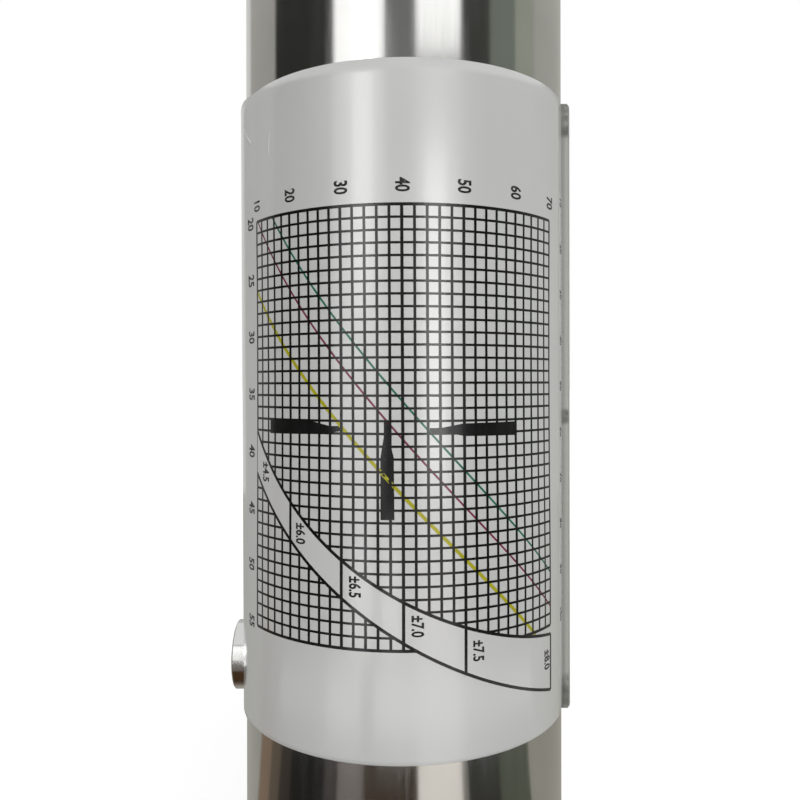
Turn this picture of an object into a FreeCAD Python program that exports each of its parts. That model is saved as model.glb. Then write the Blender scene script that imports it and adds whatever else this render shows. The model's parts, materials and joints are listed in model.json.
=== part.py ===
import FreeCAD, Part
import math
import os

# Rebound hammer, closed: plunger pushed in, hammer mass forward, push button out.
# Millimetres. +Z runs along the tube towards the plunger, the origin is on the axis at the rear face.
# The scale window is on +X, the push button on -X, the pawl on +Y.

V = FreeCAD.Vector
OUT = "parts"

# Clearances
slide_clearance = 0.25
fit_clearance = 0.1
face_gap = 0.3
thread_clearance = 0.05
cut_over = 1.0

# Housing tube
tube_outer_radius = 27.0
tube_wall = 3.0
tube_edge = 0.4
front_thread_length = 10.0
front_thread_depth = 2.0

# Mechanism along the axis
stroke = 75.0
spring_room = 30.0
disk_thickness = 9.7
disk_edge = 0.8
disk_boss_height = 1.5
mass_disk_gap = 2.3
buffer_travel = 2.5
cap_guide_length = 12.0

# Hammer mass
flange_radius = 12.5
flange_thickness = 4.0
neck_radius = 9.0
neck_length = 6.0
body_clearance = 4.0
body_length = 33.0
nose_radius = 12.0
nose_tip_radius = 9.5
nose_length = 10.2
nose_root_length = 4.4
mass_edge = 0.8

# Guide bar and its nut
bar_radius = 4.0
bar_collar_radius = 6.0
bar_collar_thickness = 2.0
bar_in_plunger = 47.0
bar_groove_depth = 0.5
bar_groove_length = 2.0
bar_groove_from_end = 6.0
bar_nut_flats = 13.0
bar_nut_height = 6.5
bar_thread_end = 1.2
bar_edge = 0.8
nut_corner_slope = 0.6

# Plunger
plunger_radius = 7.5
plunger_length = 100.0
plunger_tip_sphere = 25.0
plunger_edge = 0.6
plunger_ring_width = 0.8
plunger_ring_depth = 0.4
retaining_spring_length = 15.0

# Springs: wire radius, mean radius, turns
impact_wire = 1.1
impact_mean_radius = 14.5
impact_turns = 12
impact_length = 61.5
return_wire = 0.6
return_mean_radius = 17.0
return_turns = 9
retaining_wire = 0.45
retaining_mean_radius = 3.2
retaining_turns = 7
button_wire = 0.25
button_spring_mean_radius = 3.3
button_spring_turns = 4
pawl_wire = 0.3
pawl_spring_turns = 3
closed_turn_pitch = 2.1
pawl_spring_pitch = 2.3
pawl_spring_end = 2.0
spring_sides = 6
spring_steps = 14

# Spring retainer, a ring round the rear coil of the impact spring
retainer_wall = 2.8
retainer_length = 4.4
retainer_split = 1.5
retainer_edge = 0.56

# Guide sleeve, two-part ring, felt washer
sleeve_spigot_length = 8.0
sleeve_land = 4.0
sleeve_waist_depth = 5.9
sleeve_groove_depth = 3.0
sleeve_lip_clearance = 4.0
sleeve_lip_thickness = 3.0
ring_thickness = 3.0
ring_split = 0.6
felt_radius = 13.0
felt_thickness = 3.8

# Front cap
cap_band_length = 9.0
cap_front_radius = 15.5
cap_shoulder_round = 9.0
cap_nose_length = 4.0
cap_nose_round = 1.5

# Rear cover
cover_height = 20.0
cover_floor = 8.0
cover_round = 6.0
cover_spigot_length = 11.0
cover_recess_clearance = 1.0
cover_boss_radius = 4.6
cover_boss_height = 6.0

# Grip flutes on the front cap and the rear cover
flute_count = 24
flute_radius = 1.6
flute_depth = 0.5
flute_margin = 1.6

# Pawl
pawl_pin_radius = 1.5
pawl_pin_length = 16.0
pawl_pivot_offset = 15.0
pawl_half_thickness = 2.5
pawl_hub_radius = 2.6
pawl_arm_inner = 13.7
pawl_arm_outer = 17.4
hook_reach = 1.7
hook_thickness = 3.5
tail_half_width = 1.8
tail_offset = 11.0
tail_below_disk = 0.8
pawl_slot_inner = 7.6
pawl_slot_outer = 19.6
pawl_spring_room = 3.1

# Trip screw and its lock nut
trip_screw_radius = 2.0
trip_screw_depth = 5.0
trip_screw_edge = 0.4
trip_slot_width = 0.8
trip_slot_depth = 1.0
lock_nut_flats = 7.0
lock_nut_height = 3.2

# Chart label
label_thickness = 0.5
label_hole_clearance = 0.4
label_window_gap = 0.3
label_rear_inset = 1.2
label_front_inset = 1.5

# Scale window and its screws
window_rear_room = 4.8
window_front_room = 4.1
window_width = 10.0
window_seat_depth = 0.5
window_thickness = 1.55
window_corner = 1.5
window_edge = 0.3
window_seat_clearance = 0.1
window_screw_radius = 1.0
window_screw_head_radius = 1.9
window_screw_head_height = 1.1
window_screw_slot = 0.5

# Rider, its rod and its leaf
rider_rod_radius = 0.8
rider_rod_seat = 1.8
rider_block_length = 14.0
rider_block_width = 6.4
rider_foot_length = 18.0
rider_mass_gap = 0.9
rider_foot_lead = 1.0
rider_disk_gap = 0.5
leaf_thickness = 0.8
leaf_width = 5.0
leaf_overlap = 2.4
slot_side_clearance = 0.4
slot_end_clearance = 0.7
slot_corner = 1.0
index_line_width = 0.5
index_line_depth = 0.15

# Push button
button_head_radius = 5.8
button_proud = 2.35
button_crown = 0.3
button_edge = 0.2
button_travel = 2.0
button_wall = 1.2
button_roof = 1.9
button_stem_cover = 1.2
stem_radius = 2.0
stem_edge = 0.4
stem_below_bush = 2.65
bush_radius = 8.0
bush_below_wall = 2.55
bush_floor = 1.0
clip_radius = 3.6
clip_thickness = 0.8
clip_groove_depth = 0.5
clip_mouth = 2.48
keyway_gap = 0.6

# Places across the axis
tube_bore_radius = tube_outer_radius - tube_wall
thread_radius = tube_outer_radius - front_thread_depth
body_radius = tube_bore_radius - body_clearance
sleeve_lip_radius = thread_radius - sleeve_lip_clearance
sleeve_groove_radius = sleeve_lip_radius - sleeve_groove_depth
cover_recess_radius = return_mean_radius + return_wire + cover_recess_clearance
window_seat_radius = tube_outer_radius - window_seat_depth
rider_rod_offset = (tube_bore_radius + window_seat_radius) / 2
rider_foot_inner = body_radius + rider_mass_gap
leaf_reach = body_radius - leaf_overlap
bush_inner = tube_bore_radius - bush_below_wall
stem_reach = bush_inner - stem_below_bush
keyway_floor = stem_reach - keyway_gap

# Places along Z, each worked out from the piece that it seats on
tube_rear = cover_height
disk_rear = cover_floor + spring_room
disk_front = disk_rear + disk_thickness
button_height = disk_front + face_gap + stem_radius
mass_rear_back = disk_front + mass_disk_gap
mass_rear = mass_rear_back + stroke
neck_rear = mass_rear + flange_thickness
body_rear = neck_rear + neck_length
body_front = body_rear + body_length
nose_tip = body_front + nose_length
plunger_rear = nose_tip + buffer_travel + face_gap
plunger_tip = plunger_rear + plunger_length
cap_front = plunger_rear + stroke + cap_guide_length
cap_bore_rear = cap_front - cap_guide_length
lip_front = cap_bore_rear - felt_thickness
ring_front = lip_front - sleeve_lip_thickness
tube_front = ring_front - ring_thickness
cap_rear = tube_front - front_thread_length
sleeve_seat = body_front + impact_length
nut_rear = disk_rear - disk_boss_height - bar_nut_height
bar_front = plunger_rear + bar_in_plunger
plunger_bore_end = bar_front + retaining_spring_length

# Places of the rider at the front end of its way, where the hammer mass rests
rider_foot_rear = disk_front + stroke + rider_disk_gap
rider_block_rear = rider_foot_rear + rider_foot_lead
rider_block_front = rider_block_rear + rider_block_length
slot_rear = rider_block_rear - stroke - slot_end_clearance
slot_front = rider_block_front + slot_end_clearance
slot_half_width = rider_block_width / 2 + slot_side_clearance
window_rear = slot_rear - rider_rod_seat - window_rear_room
window_front = slot_front + rider_rod_seat + window_front_room

# Places of the pawl
pivot_height = disk_rear + disk_thickness / 2
hook_rear = mass_rear_back + flange_thickness + face_gap
hook_inner = flange_radius - hook_reach
tail_end = disk_rear - tail_below_disk

SQRT_HALF = math.sqrt(0.5)


def cylinder(radius, low, high, x=0.0, y=0.0):
    """Upright cylinder between two heights."""
    return Part.makeCylinder(radius, high - low, V(x, y, low), V(0, 0, 1))


def cylinder_x(radius, low, high, y, z):
    """Cylinder along X between two places on that axis."""
    return Part.makeCylinder(radius, high - low, V(low, y, z), V(1, 0, 0))


def box(low, high):
    """Box between its lowest and its highest corner."""
    size = [b - a for a, b in zip(low, high)]
    return Part.makeBox(size[0], size[1], size[2], V(*low))


def plate_x(low, high, corner):
    """Plate across X, its four corners rounded as a cutter leaves them."""
    plate = box(low, high)
    edges = [edge for edge in plate.Edges
             if edge.BoundBox.XLength > max(edge.BoundBox.YLength, edge.BoundBox.ZLength)]
    return plate.makeFillet(corner, edges)


def outline(start, steps, place):
    """Closed wire; a step of two numbers is a straight run, one of four an arc through its middle."""
    edges = []
    here = start
    for step in steps + [start]:
        end = step[-2:]
        if len(step) == 4:
            edges.append(Part.Arc(place(*here), place(*step[:2]), place(*end)).toShape())
        elif math.dist(here, end) > 1e-6:
            edges.append(Part.makeLine(place(*here), place(*end)))
        here = end
    return Part.Wire(edges)


def lathe(start, *steps):
    """Solid of revolution about Z from a closed outline of (radius, height) steps."""
    wire = outline(start, list(steps), lambda r, z: V(r, 0, z))
    return Part.Face(wire).revolve(V(0, 0, 0), V(0, 0, 1), 360)


def corner_middle(centre, radius, upward):
    """Middle of a quarter arc on the outer side of its centre; upward is 1 or -1."""
    return (centre[0] + radius * SQRT_HALF, centre[1] + upward * radius * SQRT_HALF)


def coil_inner(mean_radius, wire):
    """Largest radius that fits inside a coil of flat facets."""
    return (mean_radius - wire) * math.cos(math.pi / spring_steps)


def dome(edge_radius, top, sphere):
    """Arc step from a dome's edge up to its crown on the axis."""
    half = edge_radius / 2
    return (half, top - sphere + math.sqrt(sphere ** 2 - half ** 2), 0, top)


def tangent_taper(start, end, radius):
    """Arc step from an upright side into the straight taper that ends at end."""
    centre = (start[0] - radius, start[1])
    away = (end[0] - centre[0], end[1] - centre[1])
    turn = math.atan2(away[1], away[0]) - math.acos(radius / math.hypot(*away))
    middle, last = [(centre[0] + radius * math.cos(a), centre[1] + radius * math.sin(a))
                    for a in (turn / 2, turn)]
    return middle + last


def hexagon(flats, low, high, x=0.0, y=0.0):
    """Hexagonal prism with its two end faces' corners chamfered as on a nut."""
    corner = flats / math.sqrt(3)
    points = [V(x + corner * math.cos(a), y + corner * math.sin(a), low)
              for a in [math.pi / 3 * k for k in range(7)]]
    prism = Part.Face(Part.makePolygon(points)).extrude(V(0, 0, high - low))
    drop = (corner - flats / 2) * nut_corner_slope
    cone = lathe((0, low), (flats / 2, low), (corner, low + drop), (corner, high - drop),
                 (flats / 2, high), (0, high))
    cone.translate(V(x, y, 0))
    return prism.common(cone)


def grip_flutes(low, high):
    """Shallow grooves along a grip band, ready to be cut."""
    reach = tube_outer_radius + flute_radius - flute_depth
    cutters = []
    for index in range(flute_count):
        angle = 2 * math.pi * (index + 0.5) / flute_count
        cutters.append(cylinder(flute_radius, low + flute_margin, high - flute_margin,
                                reach * math.cos(angle), reach * math.sin(angle)))
    return Part.Compound(cutters)


def coil_heights(turns, length, wire):
    """Height of the wire's centre at each step, with closed end turns."""
    steps = turns * spring_steps
    closed = spring_steps
    flat_rise = closed_turn_pitch * wire
    free = length - 2 * wire - 2 * flat_rise
    heights = []
    for step in range(steps + 1):
        if step <= closed:
            height = flat_rise * step / closed
        elif step >= steps - closed:
            height = flat_rise + free + flat_rise * (step - steps + closed) / closed
        else:
            height = flat_rise + free * (step - closed) / (steps - 2 * closed)
        heights.append(wire + height)
    return heights


def swept_wire(sections):
    """Closed solid of flat facets through a row of many-sided sections."""
    count = len(sections[0])
    points = [point for section in sections for point in section]
    facets = []
    for row in range(len(sections) - 1):
        for side in range(count):
            a = row * count + side
            b = row * count + (side + 1) % count
            facets.append((a, a + count, b))
            facets.append((b, a + count, b + count))
    last = (len(sections) - 1) * count
    for side in range(1, count - 1):
        facets.append((0, side, side + 1))
        facets.append((last, last + side + 1, last + side))
    shape = Part.Shape()
    shape.makeShapeFromMesh((points, facets), 0.001)
    solid = Part.Solid(shape.Shells[0])
    if solid.Volume < 0:
        solid.reverse()
    return solid


def helical_spring(mean_radius, wire, turns, length):
    """Compression or tension spring standing on the origin, along +Z."""
    sections = []
    for step, height in enumerate(coil_heights(turns, length, wire)):
        angle = 2 * math.pi * step / spring_steps
        section = []
        for side in range(spring_sides):
            tilt = 2 * math.pi * side / spring_sides
            radius = mean_radius + wire * math.cos(tilt)
            section.append(V(radius * math.cos(angle), radius * math.sin(angle),
                             height + wire * math.sin(tilt)))
        sections.append(section)
    return swept_wire(sections)


def wire_through(points, wire, side_axis):
    """Bent wire of flat facets through a row of points; side_axis lies across its plane."""
    sections = []
    for index, point in enumerate(points):
        before = points[max(index - 1, 0)]
        after = points[min(index + 1, len(points) - 1)]
        along = (after - before).normalize()
        across = (side_axis - along * side_axis.dot(along)).normalize()
        up = along.cross(across)
        sections.append([point + across * (wire * math.cos(a)) + up * (wire * math.sin(a))
                         for a in [2 * math.pi * k / spring_sides for k in range(spring_sides)]])
    return swept_wire(sections)


def housing_tube():
    """Metal tube, threaded in front, with the window's seat and slot and the button's hole."""
    tube = lathe((tube_bore_radius, tube_rear),
                 (tube_outer_radius - tube_edge, tube_rear),
                 (tube_outer_radius, tube_rear + tube_edge),
                 (tube_outer_radius, cap_rear),
                 (thread_radius, cap_rear),
                 (thread_radius, tube_front - tube_edge),
                 (thread_radius - tube_edge, tube_front),
                 (tube_bore_radius, tube_front))
    half_seat = window_width / 2 + window_seat_clearance
    seat = plate_x((window_seat_radius, -half_seat, window_rear - window_seat_clearance),
                   (tube_outer_radius + cut_over, half_seat, window_front + window_seat_clearance),
                   window_corner + window_seat_clearance)
    slot = plate_x((tube_bore_radius - 2 * cut_over, -slot_half_width, slot_rear),
                   (tube_outer_radius + cut_over, slot_half_width, slot_front), slot_corner)
    rod_hole = cylinder(rider_rod_radius + thread_clearance, slot_rear - rider_rod_seat,
                        slot_front + rider_rod_seat, rider_rod_offset)
    button_hole = cylinder_x(bush_radius, -tube_outer_radius - cut_over, -bush_inner, 0, button_height)
    cuts = [seat, slot, rod_hole, button_hole]
    for height in window_screw_heights():
        cuts.append(cylinder_x(window_screw_radius + thread_clearance, tube_bore_radius - cut_over,
                               tube_outer_radius, 0, height))
    return tube.cut(cuts)


def rear_cover():
    """Screwed-in end cover: the return spring stands in it and the trip screw sits in its boss."""
    spigot_front = tube_rear + cover_spigot_length
    spigot_radius = tube_bore_radius - fit_clearance
    inset = tube_outer_radius - cover_round
    middle = corner_middle((inset, cover_round), cover_round, -1)
    cover = lathe((0, 0), (inset, 0), middle + (tube_outer_radius, cover_round),
                  (tube_outer_radius, tube_rear - tube_edge),
                  (tube_outer_radius - tube_edge, tube_rear),
                  (spigot_radius, tube_rear),
                  (spigot_radius, spigot_front - tube_edge),
                  (spigot_radius - tube_edge, spigot_front),
                  (cover_recess_radius, spigot_front),
                  (cover_recess_radius, cover_floor),
                  (0, cover_floor))
    boss = cylinder(cover_boss_radius, cover_floor - cut_over, cover_floor + cover_boss_height,
                    0, tail_offset)
    hole = cylinder(trip_screw_radius + thread_clearance, trip_screw_rear(),
                    cover_floor + cover_boss_height + cut_over, 0, tail_offset)
    return cover.fuse(boss).cut(hole).cut(grip_flutes(cover_round, tube_rear)).removeSplitter()


def trip_screw_rear():
    """Height of the trip screw's lower end, in the cover's boss."""
    return cover_floor + cover_boss_height - trip_screw_depth


def trip_screw():
    """Slotted set screw whose tip pushes the pawl's tail at the end of the stroke."""
    tip = tail_end - face_gap
    screw = lathe((0, trip_screw_rear()), (trip_screw_radius - trip_screw_edge, trip_screw_rear()),
                  (trip_screw_radius, trip_screw_rear() + trip_screw_edge),
                  (trip_screw_radius, tip - trip_screw_edge),
                  (trip_screw_radius - trip_screw_edge, tip), (0, tip))
    screw.translate(V(0, tail_offset, 0))
    slot = box((-trip_screw_radius, tail_offset - trip_slot_width / 2, tip - trip_slot_depth),
               (trip_screw_radius, tail_offset + trip_slot_width / 2, tip + cut_over))
    return screw.cut(slot)


def lock_nut():
    """Nut that locks the trip screw on the boss."""
    low = cover_floor + cover_boss_height
    nut = hexagon(lock_nut_flats, low, low + lock_nut_height, 0, tail_offset)
    return nut.cut(cylinder(trip_screw_radius + thread_clearance, low - cut_over,
                            low + lock_nut_height + cut_over, 0, tail_offset))


def return_spring():
    """Long soft spring between rear cover and disk, compressed in the closed hammer."""
    spring = helical_spring(return_mean_radius, return_wire, return_turns,
                            spring_room - 2 * thread_clearance)
    spring.translate(V(0, 0, cover_floor + thread_clearance))
    return spring


def guide_disk():
    """Disk that slides in the tube: keyway for the button bush, slot and pin hole for the pawl."""
    radius = tube_bore_radius - slide_clearance
    boss = coil_inner(return_mean_radius, return_wire) - slide_clearance
    disk = lathe((0, disk_rear - disk_boss_height),
                 (boss - disk_edge, disk_rear - disk_boss_height),
                 (boss, disk_rear - disk_boss_height + disk_edge),
                 (boss, disk_rear),
                 (radius - disk_edge, disk_rear),
                 (radius, disk_rear + disk_edge),
                 (radius, disk_front - disk_edge),
                 (radius - disk_edge, disk_front),
                 (0, disk_front))
    low = disk_rear - disk_boss_height - cut_over
    high = disk_front + cut_over
    half_key = bush_radius + slide_clearance + face_gap
    keyway = box((-tube_outer_radius, -half_key, low), (-keyway_floor, half_key, high))
    slot = box((-pawl_half_thickness - face_gap, pawl_slot_inner, low),
               (pawl_half_thickness + pawl_spring_room, pawl_slot_outer, high))
    pin_hole = cylinder_x(pawl_pin_radius + thread_clearance, -pawl_pin_length / 2,
                          tube_outer_radius, pawl_pivot_offset, pivot_height)
    bar_hole = cylinder(bar_radius + thread_clearance, low, high)
    return disk.cut([keyway, slot, pin_hole, bar_hole])


def guide_bar():
    """Bar on which the hammer mass slides, from the disk into the plunger's bore."""
    rear = nut_rear - bar_thread_end
    groove_front = bar_front - bar_groove_from_end
    groove_rear = groove_front - bar_groove_length
    groove_radius = bar_radius - bar_groove_depth
    return lathe((0, rear), (bar_radius - bar_edge, rear), (bar_radius, rear + bar_edge),
                 (bar_radius, disk_front), (bar_collar_radius, disk_front),
                 (bar_collar_radius, disk_front + bar_collar_thickness),
                 (bar_radius, disk_front + bar_collar_thickness),
                 (bar_radius, groove_rear - bar_groove_depth),
                 (groove_radius, groove_rear), (groove_radius, groove_front),
                 (bar_radius, groove_front + bar_groove_depth),
                 (bar_radius, bar_front - bar_edge), (bar_radius - bar_edge, bar_front), (0, bar_front))


def bar_nut():
    """Nut that holds the bar on the disk."""
    nut = hexagon(bar_nut_flats, nut_rear, nut_rear + bar_nut_height)
    return nut.cut(cylinder(bar_radius + thread_clearance, nut_rear - cut_over,
                            nut_rear + bar_nut_height + cut_over))


def pawl_pin():
    """Pin across the disk's slot."""
    half = pawl_pin_length / 2
    return cylinder_x(pawl_pin_radius, -half, half, pawl_pivot_offset, pivot_height)


def pawl():
    """Hook lever: the hook takes the mass's flange, the tail meets the trip screw."""
    arm_front = hook_rear + hook_thickness
    arm_rear = pivot_height
    tail_inner = tail_offset - tail_half_width
    tail_outer = tail_offset + tail_half_width
    bevel = hook_thickness / 2
    steps = [(pawl_arm_inner, hook_rear),
             (hook_inner, hook_rear),
             (hook_inner, hook_rear + bevel),
             (pawl_arm_inner, arm_front),
             (pawl_arm_outer - bevel, arm_front),
             (pawl_arm_outer, arm_front - bevel),
             (pawl_arm_outer, arm_rear),
             (tail_outer, tail_end + tail_half_width),
             (tail_outer, tail_end),
             (tail_inner, tail_end),
             (tail_inner, tail_end + 2 * tail_half_width)]
    wire = outline((pawl_arm_inner, arm_rear + pawl_hub_radius), steps,
                   lambda y, z: V(-pawl_half_thickness, y, z))
    lever = Part.Face(wire).extrude(V(2 * pawl_half_thickness, 0, 0))
    hub = cylinder_x(pawl_hub_radius, -pawl_half_thickness, pawl_half_thickness,
                     pawl_pivot_offset, pivot_height)
    hole = cylinder_x(pawl_pin_radius + thread_clearance, -pawl_half_thickness - cut_over,
                      pawl_half_thickness + cut_over, pawl_pivot_offset, pivot_height)
    return lever.fuse(hub).cut(hole).removeSplitter()


def pawl_spring():
    """Torsion spring on the pin, one leg over the pawl's arm, the other on the slot's end."""
    radius = pawl_pin_radius + thread_clearance + 2 * pawl_wire
    start_x = pawl_half_thickness + pawl_wire + thread_clearance
    rise = pawl_spring_pitch * pawl_wire * pawl_spring_turns
    steps = pawl_spring_turns * spring_steps
    points = []
    for step in range(steps + 1):
        angle = 2 * math.pi * step / spring_steps
        points.append(V(start_x + rise * step / steps,
                        pawl_pivot_offset + radius * math.cos(angle),
                        pivot_height + radius * math.sin(angle)))
    leg_y = pawl_slot_outer - pawl_wire - thread_clearance
    foot = V(start_x, leg_y, pivot_height - radius)
    over = pawl_arm_outer + pawl_wire + thread_clearance
    top = hook_rear - pawl_spring_end
    end_x = start_x + rise
    leg = [V(end_x, pawl_pivot_offset + radius, pivot_height + radius),
           V(end_x, over, pivot_height + 2 * radius),
           V(end_x, over, top - pawl_half_thickness),
           V(end_x - pawl_half_thickness, over, top),
           V(0, over, top)]
    return wire_through([foot] + points + leg, pawl_wire, V(1, 0.01, 0.02))


def plunger():
    """Round-nosed bar that stands on the tested surface, hollow behind for the guide bar."""
    sag = plunger_tip_sphere - math.sqrt(plunger_tip_sphere ** 2 - plunger_radius ** 2)
    bore = bar_radius + fit_clearance
    ring_rear = cap_front - plunger_ring_width / 2
    ring_end = ring_rear + plunger_ring_width
    return lathe((bore, plunger_rear + plunger_edge), (bore + plunger_edge, plunger_rear),
                 (plunger_radius - plunger_edge, plunger_rear),
                 (plunger_radius, plunger_rear + plunger_edge), (plunger_radius, ring_rear),
                 (plunger_radius - plunger_ring_depth, ring_rear),
                 (plunger_radius - plunger_ring_depth, ring_end), (plunger_radius, ring_end),
                 (plunger_radius, plunger_tip - sag),
                 dome(plunger_radius, plunger_tip, plunger_tip_sphere),
                 (0, plunger_bore_end), (bore, plunger_bore_end))


def retaining_spring():
    """Buffer spring in the plunger's bore, in front of the guide bar."""
    spring = helical_spring(retaining_mean_radius, retaining_wire, retaining_turns,
                            retaining_spring_length - 2 * thread_clearance)
    spring.translate(V(0, 0, bar_front + thread_clearance))
    return spring


def hammer_mass():
    """Steel mass with the pawl's flange and neck behind and the striking nose in front."""
    bore = bar_radius + fit_clearance
    root_front = body_front + nose_root_length
    blend = nose_radius - nose_tip_radius
    return lathe((bore, mass_rear), (flange_radius - mass_edge, mass_rear),
                 (flange_radius, mass_rear + mass_edge),
                 (flange_radius, neck_rear), (neck_radius, neck_rear),
                 (neck_radius, body_rear), (body_radius - mass_edge, body_rear),
                 (body_radius, body_rear + mass_edge),
                 (body_radius, body_front - mass_edge),
                 (body_radius - mass_edge, body_front),
                 (nose_radius, body_front), (nose_radius, root_front),
                 (nose_tip_radius, root_front + blend),
                 (nose_tip_radius, nose_tip - mass_edge),
                 (nose_tip_radius - mass_edge, nose_tip), (bore, nose_tip))


def spring_retainer():
    """Split ring that clamps the impact spring's rear coil on the mass."""
    inner = impact_mean_radius + impact_wire + thread_clearance
    outer = inner + retainer_wall
    low = body_front
    high = body_front + retainer_length
    ring = lathe((inner, low), (outer, low), (outer, high - retainer_edge),
                 (outer - retainer_edge, high), (inner, high))
    half = retainer_split / 2
    return ring.cut(box((-half, 0, low - cut_over), (half, outer + cut_over, high + cut_over)))


def impact_spring():
    """Tension spring from the hammer mass to the guide sleeve, relaxed after the impact."""
    spring = helical_spring(impact_mean_radius, impact_wire, impact_turns,
                            impact_length - 2 * thread_clearance)
    spring.translate(V(0, 0, body_front + thread_clearance))
    return spring


def guide_sleeve():
    """Sleeve in the tube's front end that carries the impact spring's front coil."""
    bore = plunger_radius + slide_clearance
    spigot = coil_inner(impact_mean_radius, impact_wire) - fit_clearance
    body = tube_bore_radius - fit_clearance
    waist = body - sleeve_waist_depth
    return lathe((bore, sleeve_seat - sleeve_spigot_length),
                 (spigot - mass_edge, sleeve_seat - sleeve_spigot_length),
                 (spigot, sleeve_seat - sleeve_spigot_length + mass_edge),
                 (spigot, sleeve_seat), (body, sleeve_seat),
                 (body, sleeve_seat + sleeve_land), (waist, sleeve_seat + sleeve_land),
                 (waist, tube_front - sleeve_land), (body, tube_front - sleeve_land),
                 (body, tube_front),
                 (sleeve_groove_radius, tube_front), (sleeve_groove_radius, ring_front),
                 (sleeve_lip_radius, ring_front), (sleeve_lip_radius, lip_front), (bore, lip_front))


def two_part_ring(side):
    """One half of the ring that locks the guide sleeve on the tube's end; side is -1 or 1."""
    inner = sleeve_groove_radius + fit_clearance
    ring = lathe((inner, tube_front), (thread_radius, tube_front),
                 (thread_radius, ring_front), (inner, ring_front))
    reach = tube_outer_radius
    low = min(side * ring_split / 2, side * reach)
    return ring.common(box((low, -reach, tube_front - cut_over),
                           (low + reach - ring_split / 2, reach, ring_front + cut_over)))


def felt_washer():
    """Felt ring that wipes the plunger."""
    return lathe((plunger_radius + fit_clearance, lip_front),
                 (felt_radius - fit_clearance, lip_front),
                 (felt_radius - fit_clearance, cap_bore_rear),
                 (plunger_radius + fit_clearance, cap_bore_rear))


def front_cap():
    """Screwed-on front cap with its grip band and curved taper; it guides the plunger."""
    bore = plunger_radius + slide_clearance
    band_front = cap_rear + cap_band_length
    shoulder = (tube_outer_radius - tube_edge, band_front + tube_edge)
    taper_front = (cap_front_radius, cap_front - cap_nose_length)
    taper = tangent_taper(shoulder, taper_front, cap_shoulder_round)
    nose_start = (cap_front_radius, cap_front - cap_nose_round)
    nose_centre = (cap_front_radius - cap_nose_round, cap_front - cap_nose_round)
    nose_middle = corner_middle(nose_centre, cap_nose_round, 1)
    thread = thread_radius + fit_clearance
    lip = sleeve_lip_radius + fit_clearance
    cap = lathe((thread, cap_rear), (tube_outer_radius - tube_edge, cap_rear),
                (tube_outer_radius, cap_rear + tube_edge),
                (tube_outer_radius, band_front), shoulder, taper, taper_front,
                nose_start, nose_middle + (nose_centre[0], cap_front),
                (bore + tube_edge, cap_front), (bore, cap_front - tube_edge),
                (bore, cap_bore_rear), (felt_radius, cap_bore_rear), (felt_radius, lip_front),
                (lip, lip_front), (lip, ring_front), (thread, ring_front))
    return cap.cut(grip_flutes(cap_rear, band_front)).removeSplitter()


def chart_label():
    """Thin plastic sheet wrapped round the tube, open at the window and round the button."""
    outer = tube_outer_radius + label_thickness
    rear = window_rear + label_rear_inset
    front = window_front - label_front_inset
    sheet = lathe((tube_outer_radius, rear), (outer, rear), (outer, front), (tube_outer_radius, front))
    half = window_width / 2 + label_window_gap
    gap = box((0, -half, rear - cut_over), (outer + cut_over, half, front + cut_over))
    hole = cylinder_x(button_head_radius + label_hole_clearance, -outer - cut_over, -tube_bore_radius,
                      0, button_height)
    return sheet.cut([gap, hole])


def window_screw_heights():
    """Heights of the two window screws, midway between the slot and the window's ends."""
    rear = (window_rear + slot_rear - rider_rod_seat) / 2
    front = (window_front + slot_front + rider_rod_seat) / 2
    return [rear, front]


def scale_window():
    """Clear strip over the rider's slot."""
    outer = window_seat_radius + window_thickness
    strip = plate_x((window_seat_radius, -window_width / 2, window_rear),
                    (outer, window_width / 2, window_front), window_corner)
    corners = [edge for edge in strip.Edges
               if all(abs(vertex.X - outer) < 1e-6 for vertex in edge.Vertexes)]
    strip = strip.makeChamfer(window_edge, corners)
    holes = []
    for height in window_screw_heights():
        holes.append(cylinder_x(window_screw_radius + fit_clearance, window_seat_radius - cut_over,
                                outer + cut_over, 0, height))
        holes.append(screw_head(height, thread_clearance))
    return strip.cut(holes)


def screw_head(height, extra):
    """Countersunk head flush with the window's face, grown by extra."""
    outer = window_seat_radius + window_thickness
    drop = window_screw_head_height
    return Part.makeCone(window_screw_radius + extra, window_screw_head_radius + extra, drop,
                         V(outer - drop, 0, height), V(1, 0, 0))


def window_screws():
    """The two countersunk screws of the window."""
    outer = window_seat_radius + window_thickness
    screws = []
    for height in window_screw_heights():
        shank = cylinder_x(window_screw_radius, tube_bore_radius, outer - window_screw_head_height,
                           0, height)
        screw = shank.fuse(screw_head(height, 0.0))
        half = window_screw_slot / 2
        slot = box((outer - half, -window_screw_head_radius, height - half),
                   (outer + cut_over, window_screw_head_radius, height + half))
        screws.append(screw.cut(slot))
    return Part.Compound(screws)


def rider_rod():
    """Rod in the slot on which the rider slides."""
    return cylinder(rider_rod_radius, slot_rear - rider_rod_seat + face_gap,
                    slot_front + rider_rod_seat - face_gap, rider_rod_offset)


def rider_block():
    """Drag pointer: a block in the slot with a foot inside the tube that the disk pushes."""
    half = rider_block_width / 2
    top = window_seat_radius - fit_clearance
    block = box((rider_foot_inner, -half, rider_block_rear), (top, half, rider_block_front))
    foot = box((rider_foot_inner, -half, rider_foot_rear),
               (foot_outer(), half, rider_foot_rear + rider_foot_length))
    hole = cylinder(rider_rod_radius + thread_clearance, rider_block_rear - cut_over,
                    rider_block_front + cut_over, rider_rod_offset)
    middle = (rider_block_rear + rider_block_front) / 2
    index_line = box((top - index_line_depth, -half, middle - index_line_width / 2),
                     (top + cut_over, half, middle + index_line_width / 2))
    recess = leaf_shape(thread_clearance)
    return block.fuse(foot).removeSplitter().cut([hole, recess, index_line])


def foot_outer():
    """Radius to which the rider's foot reaches under the tube's wall."""
    half = rider_block_width / 2
    return math.sqrt((tube_bore_radius - slide_clearance) ** 2 - half ** 2)


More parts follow.
